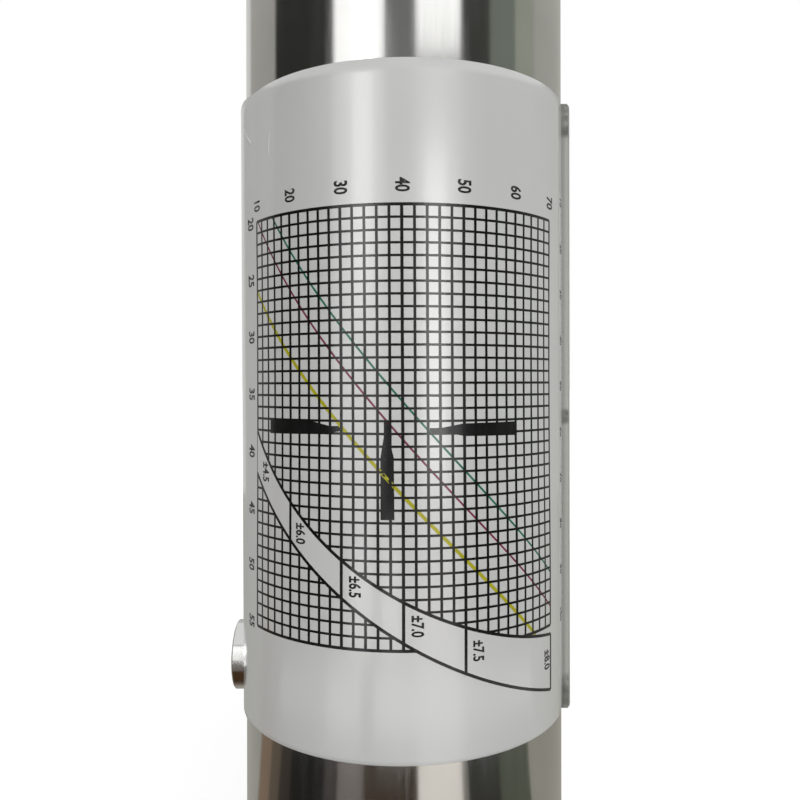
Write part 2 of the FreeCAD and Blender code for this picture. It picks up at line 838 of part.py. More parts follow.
def leaf_shape(extra):
    """Rider leaf: its lip stands behind the hammer mass's body, its flange in the foot."""
    front = body_rear - face_gap
    half = leaf_width / 2 + extra
    lip = box((leaf_reach, -half, front - leaf_thickness - extra),
              (rider_foot_inner + leaf_thickness + extra, half, front + extra))
    flange = box((rider_foot_inner - extra, -half, front - leaf_width),
                 (rider_foot_inner + leaf_thickness + extra, half, front))
    return lip.fuse(flange).removeSplitter()


def rider_leaf():
    """Bent sheet under the rider that the rebounding mass pushes."""
    return leaf_shape(0.0)


def bush_outer():
    """Place of the bush's bore mouth along the button's axis."""
    return tube_outer_radius + cut_over


def button_bush():
    """Bush in the tube's wall, flush with the tube outside, with a floor inside."""
    bush = cylinder_x(bush_radius - thread_clearance, -bush_outer(), -bush_inner, 0, button_height)
    bush = bush.common(cylinder(tube_outer_radius, 0, tube_front))
    bore = cylinder_x(button_head_radius + fit_clearance, -bush_outer(), -bush_inner - bush_floor,
                      0, button_height)
    hole = cylinder_x(stem_radius + fit_clearance, -bush_outer(), -bush_inner + cut_over,
                      0, button_height)
    return bush.cut([bore, hole])


def place_on_button_axis(shape):
    """Turn a solid built along +Z so that +Z points outward along the button's axis."""
    shape.rotate(V(0, 0, 0), V(0, 1, 0), -90)
    shape.translate(V(0, 0, button_height))
    return shape


def button_face():
    """Distance of the button's crown from the tube's axis."""
    return tube_outer_radius + button_proud


def button_head():
    """Crowned metal cap with a pocket for its spring."""
    rim = button_face() - button_crown
    low = bush_inner + bush_floor + button_travel + fit_clearance
    pocket = button_face() - button_roof
    radius = button_head_radius
    inner = radius - button_wall
    face_radius = radius - button_edge
    sphere = (face_radius ** 2 + button_crown ** 2) / (2 * button_crown)
    head = lathe((stem_radius + thread_clearance, pocket), (inner, pocket), (inner, low),
                 (face_radius, low), (radius, low + button_edge), (radius, rim - button_edge),
                 (face_radius, rim), dome(face_radius, button_face(), sphere),
                 (0, stem_outer()), (stem_radius + thread_clearance, stem_outer()))
    return place_on_button_axis(head)


def stem_outer():
    """Distance of the stem's outer end from the tube's axis, in the head's blind hole."""
    return button_face() - button_stem_cover


def clip_outer():
    """Distance of the clip's outer face from the tube's axis."""
    return bush_inner - face_gap


def button_stem():
    """Pin of the push button; pushed in, its tip stands in front of the disk."""
    groove = stem_radius - clip_groove_depth
    stem = lathe((0, stem_reach), (stem_radius - stem_edge, stem_reach),
                 (stem_radius, stem_reach + stem_edge),
                 (stem_radius, clip_outer() - clip_thickness), (groove, clip_outer() - clip_thickness),
                 (groove, clip_outer()), (stem_radius, clip_outer()), (stem_radius, stem_outer()),
                 (0, stem_outer()))
    return place_on_button_axis(stem)


def button_clip():
    """Open clip in the stem's groove, which stops the button on its way out."""
    inner = stem_radius - clip_groove_depth + thread_clearance
    low = clip_outer() - clip_thickness + thread_clearance / 2
    high = clip_outer() - thread_clearance / 2
    ring = lathe((inner, low), (clip_radius, low), (clip_radius, high), (inner, high))
    half = clip_mouth / 2
    mouth = box((-half, 0, low - cut_over), (half, clip_radius + cut_over, high + cut_over))
    return place_on_button_axis(ring.cut(mouth))


def button_spring():
    """Spring between the bush's floor and the pocket of the head."""
    low = bush_inner + bush_floor + thread_clearance
    length = button_face() - button_roof - thread_clearance - low
    spring = helical_spring(button_spring_mean_radius, button_wire, button_spring_turns, length)
    spring.translate(V(0, 0, low))
    return place_on_button_axis(spring)


NODES = {
    "housing_tube": housing_tube,
    "front_cap": front_cap,
    "ring_half_left": lambda: two_part_ring(-1),
    "ring_half_right": lambda: two_part_ring(1),
    "felt_washer": felt_washer,
    "guide_sleeve": guide_sleeve,
    "impact_spring": impact_spring,
    "hammer_mass": hammer_mass,
    "spring_retainer": spring_retainer,
    "plunger": plunger,
    "retaining_spring": retaining_spring,
    "guide_bar": guide_bar,
    "guide_disk": guide_disk,
    "bar_nut": bar_nut,
    "pawl": pawl,
    "pawl_pin": pawl_pin,
    "pawl_spring": pawl_spring,
    "return_spring": return_spring,
    "rear_cover": rear_cover,
    "trip_screw": trip_screw,
    "lock_nut": lock_nut,
    "chart_label": chart_label,
    "scale_window": scale_window,
    "window_screws": window_screws,
    "rider_block": rider_block,
    "rider_leaf": rider_leaf,
    "rider_rod": rider_rod,
    "button_bush": button_bush,
    "button_head": button_head,
    "button_stem": button_stem,
    "button_clip": button_clip,
    "button_spring": button_spring,
}

os.makedirs(OUT, exist_ok=True)
for name, make in NODES.items():
    shape = make()
    shape.exportStep(os.path.join(OUT, name + ".step"))
    facets = sum(len(solid.tessellate(0.05)[1]) for solid in shape.Solids)
    print(name, shape.isValid(), len(shape.Solids), round(shape.Volume, 1), facets)
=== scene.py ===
import json
import math

import bmesh
import bpy
from mathutils import Matrix, Vector


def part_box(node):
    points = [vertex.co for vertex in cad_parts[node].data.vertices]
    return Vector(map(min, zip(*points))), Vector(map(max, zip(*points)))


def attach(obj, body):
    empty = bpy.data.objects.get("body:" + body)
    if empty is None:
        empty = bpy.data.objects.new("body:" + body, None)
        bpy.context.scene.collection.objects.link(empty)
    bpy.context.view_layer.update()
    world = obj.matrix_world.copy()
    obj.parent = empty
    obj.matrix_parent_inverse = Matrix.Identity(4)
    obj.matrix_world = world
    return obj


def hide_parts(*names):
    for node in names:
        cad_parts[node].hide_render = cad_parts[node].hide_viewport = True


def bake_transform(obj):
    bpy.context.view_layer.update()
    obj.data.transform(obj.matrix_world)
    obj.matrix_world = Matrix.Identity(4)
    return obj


# Rebound hammer, metres. +Z runs along the tube towards the plunger, -Y faces the camera.
# Angles on the tube count from -Y towards +X, where the scale window is.

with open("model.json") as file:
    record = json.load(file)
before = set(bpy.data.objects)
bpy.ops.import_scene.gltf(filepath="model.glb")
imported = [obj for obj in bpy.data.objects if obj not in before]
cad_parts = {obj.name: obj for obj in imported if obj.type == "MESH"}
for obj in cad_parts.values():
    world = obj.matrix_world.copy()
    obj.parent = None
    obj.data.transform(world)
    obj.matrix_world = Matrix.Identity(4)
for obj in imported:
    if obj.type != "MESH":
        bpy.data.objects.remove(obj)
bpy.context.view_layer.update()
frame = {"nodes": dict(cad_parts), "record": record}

MM = 0.001

# Places read from the frame
LABEL_LOW, LABEL_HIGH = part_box("chart_label")
WINDOW_LOW, WINDOW_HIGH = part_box("scale_window")
HEAD_LOW, HEAD_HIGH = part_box("button_head")
TUBE_RADIUS = -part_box("housing_tube")[0].y
LABEL_REACH = -LABEL_LOW.y
BUTTON_HEIGHT = (HEAD_LOW.z + HEAD_HIGH.z) / 2
RIDER_LOW, RIDER_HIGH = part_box("rider_block")
LINE_BELOW_TOP = 7.0 * MM
RIDER_LINE = RIDER_HIGH.z - LINE_BELOW_TOP

# Camera
CAMERA_PLACE = Vector((0, -140.3, 97.1)) * MM
CAMERA_ROLL = math.radians(-0.066)
LENS = 36.07
SENSOR = 36.0
CLIP_START = 0.01
LEVEL_TURN = math.radians(90)
PICTURE_WIDTH = 800
SIDE_SHIFT = -3.8 / PICTURE_WIDTH
HORIZON_SHIFT = -15.97 / PICTURE_WIDTH

# Label sheet
FACE_DROP = 0.2 * MM
SHEET_THICKNESS = 0.26 * MM
SHEET_CLEARANCE = 0.02 * MM
SHEET_GAP = 0.3 * MM
SHEET_STEP = math.radians(2)
ROW_STEP = 2.0 * MM
FINE_ROW_STEP = 0.5 * MM
HOLE_RADIUS = 6.2 * MM
HOLE_ROOM = 8.0 * MM
RIM_SHARE = 1.2
EDGE_TILT = 0.24 * MM
EDGE_ROUND = 0.16 * MM
LIFT_TOP = 0.58 * MM
LIFT_BOTTOM = 0.21 * MM
LIFT_START = math.radians(57)
LIFT_PEAK = math.radians(69)
LIFT_HOLD = math.radians(100)
LIFT_END = math.radians(150)
DROP_START = math.radians(66.5)
DROP_PEAK = math.radians(69.5)
RIGHT_DROP = 0.2 * MM

# Chart, in its own units: rebound value across, strength down
CELL_WIDTH = 1.8018 * MM
CELL_HEIGHT = 1.803 * MM
CHART_FIRST, CHART_LAST, CHART_STEP = 10, 70, 2
LEVEL_FIRST, LEVEL_LAST = 20, 55
CHART_LEFT_ANGLE = math.radians(-56.69)
CHART_TOP = 122.51 * MM
CHART_SKEW = 0.045 * MM
CHART_LEAN = 0.0041
CHART_SPREAD = 0.0131
CHART_MIDDLE = 98.8 * MM
CHART_HALF = 29.0 * MM
SPREAD_FULL = math.radians(63)
SPREAD_NONE = math.radians(67)
GRID_LINE = 0.41 * MM
TENS_LINE = 0.46 * MM
BORDER_LINE = 0.45 * MM
LEVEL_LINE = 0.35 * MM
CURVE_LINE = 0.3 * MM
YELLOW_LINE = 0.52 * MM
INK_GRID = 0.017 * MM
INK_CURVE = 0.013 * MM
INK_SIGN = 0.009 * MM
INK_BAND = 0.03 * MM
INK_TOP = 0.045 * MM
INK_BORDER = 1.2 * INK_GRID
ARC_STEP = 0.8 * MM
UPRIGHT_STEPS = 8
CURVE_STEPS = 60

# Chart curves: strength as a polynomial of the rebound value
GREEN_CURVE = (8.72, 0.766, -0.00243)
MAGENTA_CURVE = (12.52, 0.733, -0.00213)
YELLOW_CURVE = (19.87, 0.623, -0.0012)
GREEN_FIRST, MAGENTA_FIRST, YELLOW_LAST = 15.6, 10.5, 64.8
BAND_UPPER = (30.99, 0.8007, -0.008744, 3.383e-5)
BAND_LOWER = (35.53, 0.6770, -0.005885, 1.902e-5)
BAND_TENS = (20, 30, 40, 50)
BAND_STEPS = 72

# Numbers
DIGIT_HEIGHT = 2.05 * MM
DIGIT_WIDTH_SHARE = 0.72
FONT_CAP_SHARE = 0.729
LETTER_WEIGHT = 0.028
LETTER_STEPS = 3
SAME_PLACE = 1e-7
ROUNDING = 1e-9
# How much lower each number over the chart stands, in millimetres
NUMBER_DROPS = (0.31, 0.17, 0.07, 0, -0.03, -0.1, 0)
NUMBER_RISE = 2.76 * MM
NUMBER_SIDE = 0.13 * MM
LEVEL_SIDE = 2.3 * MM
LEVEL_RISE = 0.2 * MM
READ_TURN = math.radians(90)
BAND_DIGIT_HEIGHT = 1.75 * MM
# Values in the band: rebound value, text, and share of the way from its upper to its lower line
BAND_VALUES = ((13.2, "±4.5", 0.42), (22.3, "±6.0", 0.45), (32.3, "±6.5", 0.40),
               (42.2, "±7.0", 0.40), (52.2, "±7.5", 0.42), (68.6, "±8.0", 0.45))

# Hammer signs: (rebound value, strength) along the upper or left side, then the other side
LEFT_SIGN = (((14.6, 37.05), (24.01, 36.99), (27.93, 37.42), (30.2, 37.4)),
             ((14.6, 38.2), (24.3, 38.11), (27.1, 38.04), (30.2, 37.79)))
RIGHT_SIGN = (((44.26, 37.56), (46.2, 37.54), (49.88, 37.22), (59.76, 37.17)),
              ((44.26, 38.03), (48.52, 38.08), (50.05, 38.23), (59.76, 38.29)))
MIDDLE_SIGN = (((37.0, 36.97), (37.0, 38.2), (36.42, 39.92), (36.42, 44.75)),
               ((38.19, 36.97), (38.19, 39.14), (38.56, 39.84), (38.62, 44.75)))
# Each sign with the coordinate that its steps follow and its number of columns
HAMMER_SIGNS = ((LEFT_SIGN, 0, 1), (RIGHT_SIGN, 0, 1), (MIDDLE_SIGN, 1, 4))
SIGN_STEPS = 36

# Rebound scale beside the window
SCALE_TRAVEL = 75.0 * MM
SCALE_LOW, SCALE_HIGH = 44.4 * MM, 128.3 * MM
SCALE_LEFT_ANGLE = math.radians(69.7)
SCALE_STRIP_RISE = 0.05 * MM
SCALE_STEPS = 40
SCALE_FIRST, SCALE_LAST, SCALE_STEP = 10, 100, 2
SCALE_DIGIT_HEIGHT = 1.5 * MM
SCALE_DIGIT_SHARE = 0.8
SCALE_NUMBER_SIDE = 3.5 * MM
TICK_LINE = 0.22 * MM
TICK_LONG, TICK_SHORT = 2.0 * MM, 1.1 * MM
TICK_SIDE = 0.25 * MM
STRIP_SIDE = 0.05 * MM
STRIP_COLUMNS = 8

# Rider's index line: half width, depth, clearance to the block's sides and face, rounding
MARK_HALF = 0.2 * MM
MARK_DEPTH = 0.12 * MM
MARK_SIDE = 0.15 * MM
MARK_SINK = 0.02 * MM
MARK_ROUND = 0.03 * MM
MARK_FLAT_SHARE = 0.6

# Creases with a painted highlight: points as (angle in degrees, height in millimetres), and width
CREASES = ((((-47.8, 135.6), (-48.1, 134.3), (-48.5, 132.2)), 0.26 * MM),
           (((-48.7, 131.6), (-48.8, 131.2)), 0.2 * MM),
           (((-69.0, 138.9), (-66.0, 137.4), (-61.0, 135.4)), 0.6 * MM))
CREASE_STEPS = 12
CREASE_RISE = 0.03 * MM

# Springs: node, mean radius, wire radius, turns, body, body at the far end, on the button's axis
SPRINGS = (("impact_spring", 14.5 * MM, 1.1 * MM, 12, "housing"),
           ("return_spring", 17.0 * MM, 0.6 * MM, 9, "housing", "core"),
           ("retaining_spring", 3.2 * MM, 0.45 * MM, 7, "core", "nose"),
           ("button_spring", 3.3 * MM, 0.25 * MM, 4, "housing", "button", True))
# Rise of the closed turns, as a share of the wire's radius
CLOSED_PITCH = 2.1
COIL_STEPS = 32
WIRE_SIDES = 10

# Looks: range of a noise that is used, and depth of a fine grain
NOISE_LOW, NOISE_HIGH = 0.3, 0.7
GRAIN_DEPTH = 0.00002
# Lathe axes: a point on the axis and the axes across it; how fast rings change along the axis
TUBE_AXIS = ((0, 0, 0), (1, 1, 0))
BUTTON_AXIS = ((0, 0, BUTTON_HEIGHT), (0, 1, 1))
ALONG_SHARE = 0.35
# Film: depth of its grain, and range of its roughness
FILM_DEPTH = 0.00001
FILM_ROUGHNESS = (0.28, 0.34)
# Painted shade on the window's side faces, dark patches where the screws would show
# through: height of the middle, and half length; then the shares of that half at which a
# patch starts to fade and is gone
PAINTED_SCREW_SHADE = ((140.7 * MM, 2.0 * MM), (144.2 * MM, 1.6 * MM), (45.2 * MM, 2.9 * MM),
                  (91.6 * MM, 1.3 * MM))
SHADE_FULL, SHADE_GONE = 0.7, 1.15
# Painted highlight on the side faces: their palest line, off their middle
SIDE_HIGHLIGHT_OFFSET = 0.25 * MM


def smooth(share):
    """Soft step from 0 to 1."""
    share = min(1.0, max(0.0, share))
    return share * share * (3 - 2 * share)


def round_place(radius, angle, height):
    """Point round the tube's axis."""
    return Vector((radius * math.sin(angle), -radius * math.cos(angle), height))


def surface_radius(angle, height):
    """Radius of the label's printed face; the sheet stands off the tube round its left side."""
    turn = -angle if angle < 0 else 2 * math.pi - angle
    rise = smooth((turn - LIFT_START) / (LIFT_PEAK - LIFT_START))
    fall = smooth((LIFT_END - turn) / (LIFT_END - LIFT_HOLD))
    up = (height - LABEL_LOW.z) / (LABEL_HIGH.z - LABEL_LOW.z)
    lift = LIFT_BOTTOM + (LIFT_TOP - LIFT_BOTTOM) * up
    drop = RIGHT_DROP * smooth((angle - DROP_START) / (DROP_PEAK - DROP_START))
    return LABEL_REACH - FACE_DROP - drop + rise * fall * lift


def on_sheet(arc, height, rise):
    """Point over the label: arc length from the front line, height, and rise above the face.

    The print leans a little and is slightly wider at its ends.
    """
    angle = arc / LABEL_REACH
    up = min(1.0, max(-1.0, (height - CHART_MIDDLE) / CHART_HALF))
    share = 1 - smooth((abs(angle) - SPREAD_FULL) / (SPREAD_NONE - SPREAD_FULL))
    lean = CHART_LEAN * up * CHART_HALF / LABEL_REACH
    angle += share * (angle * CHART_SPREAD * up * up - lean)
    radius = surface_radius(angle, height) + rise
    return round_place(radius, angle, height + CHART_SKEW * angle)


def chart_arc(value):
    """Arc length at a rebound value."""
    return CHART_LEFT_ANGLE * LABEL_REACH + (value - CHART_FIRST) / CHART_STEP * CELL_WIDTH


def chart_height(level):
    """Height at a strength value."""
    return CHART_TOP - (level - LEVEL_FIRST) * CELL_HEIGHT


def polynomial(factors, value):
    """Value of a polynomial whose factors start with the constant one."""
    return sum(factor * value ** power for power, factor in enumerate(factors))


def new_object(name, data):
    """Object of a mesh, a text, a camera or a lamp, in the scene."""
    piece = bpy.data.objects.new(name, data)
    bpy.context.scene.collection.objects.link(piece)
    return piece


def finish_mesh(name, bm, shaded=True):
    """Turn a bmesh into an object with outward normals."""
    bmesh.ops.recalc_face_normals(bm, faces=bm.faces)
    mesh = bpy.data.meshes.new(name)
    bm.to_mesh(mesh)
    bm.free()
    if shaded:
        for face in mesh.polygons:
            face.use_smooth = True
    return new_object(name, mesh)


def add_material(piece, material, body):
    """Give a piece its material and, where it has one, its body."""
    piece.data.materials.clear()
    piece.data.materials.append(material)
    if body is not None:
        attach(piece, body)


def on_label(name, bm, material, shaded=False):
    """Finish a piece that lies on the label's sheet."""
    add_material(finish_mesh(name, bm, shaded), material, "housing")


def skin_sides(bm, stations):
    """Faces round a row of stations with equally many points."""
    for first, second in zip(stations, stations[1:]):
        for k in range(len(first)):
            after = (k + 1) % len(first)
            bm.faces.new((first[k], first[after], second[after], second[k]))


def skin(bm, stations):
    """Faces round a row of stations and over both its ends."""
    skin_sides(bm, stations)
    bm.faces.new(stations[0])
    bm.faces.new(list(reversed(stations[-1])))


class Nodes:
    """Short way to build a node material."""

    def __init__(self, name):
        self.material = bpy.data.materials.new(name)
        self.material.use_nodes = True
        self.tree = self.material.node_tree
        self.tree.nodes.clear()
        self.output = self.tree.nodes.new("ShaderNodeOutputMaterial")

    def node(self, kind, **values):
        made = self.tree.nodes.new(kind)
        for key, value in values.items():
            if key in made.inputs:
                made.inputs[key].default_value = value
            else:
                setattr(made, key, value)
        return made

    def link(self, source, target):
        self.tree.links.new(source, target)

    def principled(self, **values):
        shader = self.tree.nodes.new("ShaderNodeBsdfPrincipled")
        for key, value in values.items():
            shader.inputs[key.replace("_", " ")].default_value = value
        self.link(shader.outputs[0], self.output.inputs["Surface"])
        return shader

    def coordinates(self, scale=(1, 1, 1)):
        """Object coordinates stretched by a scale for each axis."""
        place = self.node("ShaderNodeTexCoord")
        stretch = self.node("ShaderNodeMapping")
        stretch.inputs["Scale"].default_value = scale
        self.link(place.outputs["Object"], stretch.inputs["Vector"])
        return stretch.outputs["Vector"]

    def noise(self, vector, size, detail=2.0, roughness=0.5):
        made = self.node("ShaderNodeTexNoise")
        made.inputs["Scale"].default_value = size
        made.inputs["Detail"].default_value = detail
        made.inputs["Roughness"].default_value = roughness
        self.link(vector, made.inputs["Vector"])
        return made.outputs["Fac"]

    def spread(self, value, low, high, start=0.0, end=1.0):
        """Map a value from start..end to low..high."""
        made = self.node("ShaderNodeMapRange")
        made.inputs["From Min"].default_value = start
        made.inputs["From Max"].default_value = end
        made.inputs["To Min"].default_value = low
        made.inputs["To Max"].default_value = high
        self.link(value, made.inputs["Value"])
        return made.outputs["Result"]

    def blend(self, value, first, second):
        """Mix two colours by a value; each is a colour or a socket."""
        made = self.tree.nodes.new("ShaderNodeMix")
        made.data_type = "RGBA"
        for place, colour in ((6, first), (7, second)):
            if isinstance(colour, tuple):
                made.inputs[place].default_value = (*colour, 1)
            else:
                self.link(colour, made.inputs[place])
        self.link(value, made.inputs[0])
        return made.outputs[2]

    def calculate(self, operation, first, second=None):
        """Math node on a socket, with a socket or number as its second value."""
        made = self.node("ShaderNodeMath", operation=operation)
        self.link(first, made.inputs[0])
        if isinstance(second, (int, float)):
            made.inputs[1].default_value = second
        elif second is not None:
            self.link(second, made.inputs[1])
        return made.outputs[0]

    def surface(self, shader, cloud, fine, colours, roughness):
        """Colour from one noise, roughness from another, each from low to high."""
        colour = self.blend(self.spread(cloud, 0, 1, NOISE_LOW, NOISE_HIGH), *colours)
        self.link(colour, shader.inputs["Base Color"])
        rough = self.spread(fine, *roughness, NOISE_LOW, NOISE_HIGH)
        self.link(rough, shader.inputs["Roughness"])

    def bump(self, value, strength, distance):
        made = self.node("ShaderNodeBump")
        made.inputs["Strength"].default_value = strength
        made.inputs["Distance"].default_value = distance
        self.link(value, made.inputs["Height"])
        return made.outputs["Normal"]


def metal(name, dark, light, rough_low, rough_high, grain, stretch, bump):
    """Machined metal: colour and roughness vary with a stretched grain, with a fine bump."""
    n = Nodes(name)
    shader = n.principled(Metallic=1.0)
    fine = n.noise(n.coordinates(stretch), grain, 4.0, 0.6)
    cloud = n.noise(n.coordinates(), 60.0, 2.0)
    n.surface(shader, cloud, fine, (dark, light), (rough_low, rough_high))
    n.link(n.bump(fine, bump, GRAIN_DEPTH), shader.inputs["Normal"])
    return n.material


def plastic(name, dark, light, roughness, bump=0.05, size=900.0, specular=0.5):
    """Plastic, ink or paint with a slight mottle."""
    n = Nodes(name)
    shader = n.principled(Specular_IOR_Level=specular)
    fine = n.noise(n.coordinates(), size, 3.0)
    n.surface(shader, fine, fine, (dark, light), (roughness * 0.85, roughness * 1.15))
    n.link(n.bump(fine, bump, GRAIN_DEPTH), shader.inputs["Normal"])
    return n.material


def turned(name, dark, light, rough_low, rough_high, centre, across, rings, bump):
    """Lathe-turned metal: fine rings round an axis, given by its centre and the axes across it."""
    n = Nodes(name)
    shader = n.principled(Metallic=1.0)
    place = n.node("ShaderNodeTexCoord")
    shift = n.node("ShaderNodeVectorMath", operation="SUBTRACT")
    shift.inputs[1].default_value = centre
    mask = n.node("ShaderNodeVectorMath", operation="MULTIPLY")
    mask.inputs[1].default_value = across
    reach = n.node("ShaderNodeVectorMath", operation="LENGTH")
    n.link(place.outputs["Object"], shift.inputs[0])
    n.link(shift.outputs[0], mask.inputs[0])
    n.link(mask.outputs[0], reach.inputs[0])
    along = n.node("ShaderNodeVectorMath", operation="MULTIPLY")
    along.inputs[1].default_value = tuple(ALONG_SHARE * (1 - a) for a in across)
    n.link(shift.outputs[0], along.inputs[0])
    both = n.node("ShaderNodeCombineXYZ")
    n.link(reach.outputs["Value"], both.inputs[0])
    whole = n.node("ShaderNodeVectorMath", operation="ADD")
    n.link(both.outputs[0], whole.inputs[0])
    n.link(along.outputs[0], whole.inputs[1])
    fine = n.noise(whole.outputs[0], rings, 3.0, 0.6)
    cloud = n.noise(n.coordinates(), 90.0, 2.0)
    n.surface(shader, cloud, fine, (dark, light), (rough_low, rough_high))
    n.link(n.bump(fine, bump, GRAIN_DEPTH), shader.inputs["Normal"])
    return n.material


def window_plastic(name):
    """Clear acrylic plate with sawn, matt sides that carry painted shade and a painted highlight.
    """
    n = Nodes(name)
    shader = n.principled(IOR=1.49)
    place = n.node("ShaderNodeTexCoord")
    normal = n.node("ShaderNodeSeparateXYZ")
    n.link(place.outputs["Normal"], normal.inputs[0])
    clear = n.spread(n.calculate("ABSOLUTE", normal.outputs["X"]), 0, 1, 0.6, 0.9)
    n.link(clear, shader.inputs["Transmission Weight"])
    n.link(n.spread(clear, 1.0, 0.4, 0.62, 0.9), shader.inputs["Alpha"])
    spot = n.node("ShaderNodeSeparateXYZ")
    n.link(place.outputs["Object"], spot.inputs[0])
    screw_shade = None
    # Painted shade: dark, mottled patches on the side faces where the screws would show through
    for centre, half in PAINTED_SCREW_SHADE:
        away = n.calculate("ABSOLUTE", n.calculate("SUBTRACT", spot.outputs["Z"], centre))
        screw_shade_patch = n.spread(away, 1, 0, half * SHADE_FULL, half * SHADE_GONE)
        screw_shade = screw_shade_patch if screw_shade is None else n.calculate("MAXIMUM", screw_shade, screw_shade_patch)
    mottle = n.noise(n.coordinates(), 420.0, 3.0, 0.6)
    painted_screw_shade = n.calculate("MULTIPLY", screw_shade, n.spread(mottle, 0.35, 1.0, 0.35, 0.6))
    # Painted highlight: a paler line along the side faces, off their middle, fading to their edges
    middle = (WINDOW_LOW.x + WINDOW_HIGH.x) / 2 + SIDE_HIGHLIGHT_OFFSET
    rim = n.calculate("ABSOLUTE", n.calculate("SUBTRACT", spot.outputs["X"], middle))
    edge = n.spread(rim, 0, 1, 0.2 * MM, 0.5 * MM)
    painted_highlight = n.blend(edge, (0.40, 0.405, 0.365), (0.30, 0.305, 0.28))
    side = n.blend(painted_screw_shade, painted_highlight, (0.10, 0.10, 0.085))
    n.link(n.blend(clear, side, (0.92, 0.94, 0.92)), shader.inputs["Base Color"])
    n.link(n.spread(clear, 0.45, 0.04), shader.inputs["Roughness"])
    return n.material


def film(name, dark, light, size=70.0, coat=1.0, specular=0.5):
    """Printed film under a glossy laminate, with faint mottling."""
    n = Nodes(name)
    shader = n.principled(Specular_IOR_Level=specular, Coat_Weight=coat, Coat_Roughness=0.16)
    cloud = n.noise(n.coordinates((1, 1, 0.4)), size, 2.0)
    fine = n.noise(n.coordinates(), 2500.0, 2.0)
    n.surface(shader, cloud, cloud, (dark, light), FILM_ROUGHNESS)
    n.link(n.bump(fine, 0.04, FILM_DEPTH), shader.inputs["Normal"])
    return n.material


MATERIALS = {
    "tube_metal": metal("tube_satin", (0.56, 0.56, 0.545), (0.63, 0.625, 0.61), 0.09, 0.16,
                        900.0, (1, 1, 0.06), 0.05),
    "cap_metal": turned("cap_turned", (0.52, 0.52, 0.51), (0.60, 0.60, 0.59), 0.18, 0.3,
                        *TUBE_AXIS, 2600.0, 0.14),
    "cover_metal": turned("cover_turned", (0.52, 0.52, 0.51), (0.60, 0.60, 0.59), 0.18, 0.3,
                          *TUBE_AXIS, 2600.0, 0.14),
    "plunger_steel": turned("plunger_ground", (0.50, 0.51, 0.52), (0.58, 0.59, 0.60), 0.1, 0.2,
                            *TUBE_AXIS, 4200.0, 0.08),
    "mass_steel": turned("mass_turned", (0.40, 0.41, 0.42), (0.50, 0.51, 0.52), 0.2, 0.35,
                         *TUBE_AXIS, 2600.0, 0.12),
    "mechanism_steel": metal("mechanism_machined", (0.42, 0.42, 0.42), (0.52, 0.52, 0.52), 0.22,
                             0.36, 1200.0, (1, 1, 1), 0.1),
    "fastener_steel": metal("fastener_plated", (0.45, 0.45, 0.44), (0.55, 0.55, 0.54), 0.2, 0.34,
                            1500.0, (1, 1, 1), 0.1),
    "spring_steel": metal("spring_wire", (0.34, 0.33, 0.32), (0.46, 0.45, 0.43), 0.22, 0.36,
                          2000.0, (1, 1, 1), 0.05),
    "felt": plastic("felt_wool", (0.10, 0.095, 0.09), (0.20, 0.19, 0.18), 0.9, 0.5, 1800.0, 0.1),
    "label_sheet": film("label_film", (0.60, 0.605, 0.595), (0.63, 0.632, 0.62)),
    "window_clear": window_plastic("window_acrylic"),
    "rider_black": plastic("rider_moulded", (0.015, 0.015, 0.016), (0.03, 0.03, 0.031), 0.45),
    "rider_leaf_steel": metal("leaf_spring", (0.45, 0.45, 0.46), (0.55, 0.55, 0.56), 0.2, 0.3,
                              1500.0, (1, 1, 0.1), 0.05),
    "button_metal": turned("button_turned", (0.60, 0.60, 0.585), (0.68, 0.68, 0.66), 0.12, 0.2,
                           *BUTTON_AXIS, 2600.0, 0.12),
}

INK_BLACK = film("ink_black", (0.004, 0.004, 0.004), (0.010, 0.010, 0.010), 900.0, 0.75, 0.05)
INK_WHITE = film("ink_white", (0.62, 0.62, 0.61), (0.645, 0.645, 0.635))
INK_GREEN = film("ink_green", (0.01, 0.13, 0.085), (0.02, 0.17, 0.11), 900.0, 0.75, 0.05)
INK_MAGENTA = film("ink_magenta", (0.17, 0.02, 0.06), (0.22, 0.03, 0.08), 900.0, 0.75, 0.05)
INK_YELLOW = film("ink_yellow", (0.40, 0.37, 0.012), (0.46, 0.43, 0.02), 900.0, 0.75, 0.05)
# Paler than the sheet's film: the creases' highlight is painted into this colour
CREASE_HIGHLIGHT_FILM = film("crease_painted_highlight", (0.66, 0.66, 0.65), (0.70, 0.70, 0.69), 900.0)
MARK_WHITE = plastic("mark_white", (0.70, 0.70, 0.68), (0.78, 0.78, 0.76), 0.4)


def dress_nodes():
    """Give each carried-over CAD node the material of its slot in the record."""
    slots = {part["node"]: part["material_slot"] for part in frame["record"]["subparts"]}
    for name, piece in frame["nodes"].items():
        piece.data.materials.clear()
        piece.data.materials.append(MATERIALS[slots[name]])


def label_angles():
    """Angles of the sheet's columns, from the window's front side round the left to its back."""
    half = WINDOW_HIGH.y + SHEET_GAP
    first = math.acos(half / LABEL_REACH)
    last = first - 2 * math.pi + 2 * math.asin(half / LABEL_REACH)
    count = round((first - last) / SHEET_STEP)
    coarse = [first + (last - first) * i / count for i in range(count + 1)]
    room = HOLE_ROOM / TUBE_RADIUS
    angles = []
    for angle, after in zip(coarse, coarse[1:]):
        angles.append(angle)
        if abs(angle + math.pi / 2) < room:
            angles.append((angle + after) / 2)
    return angles + [last]


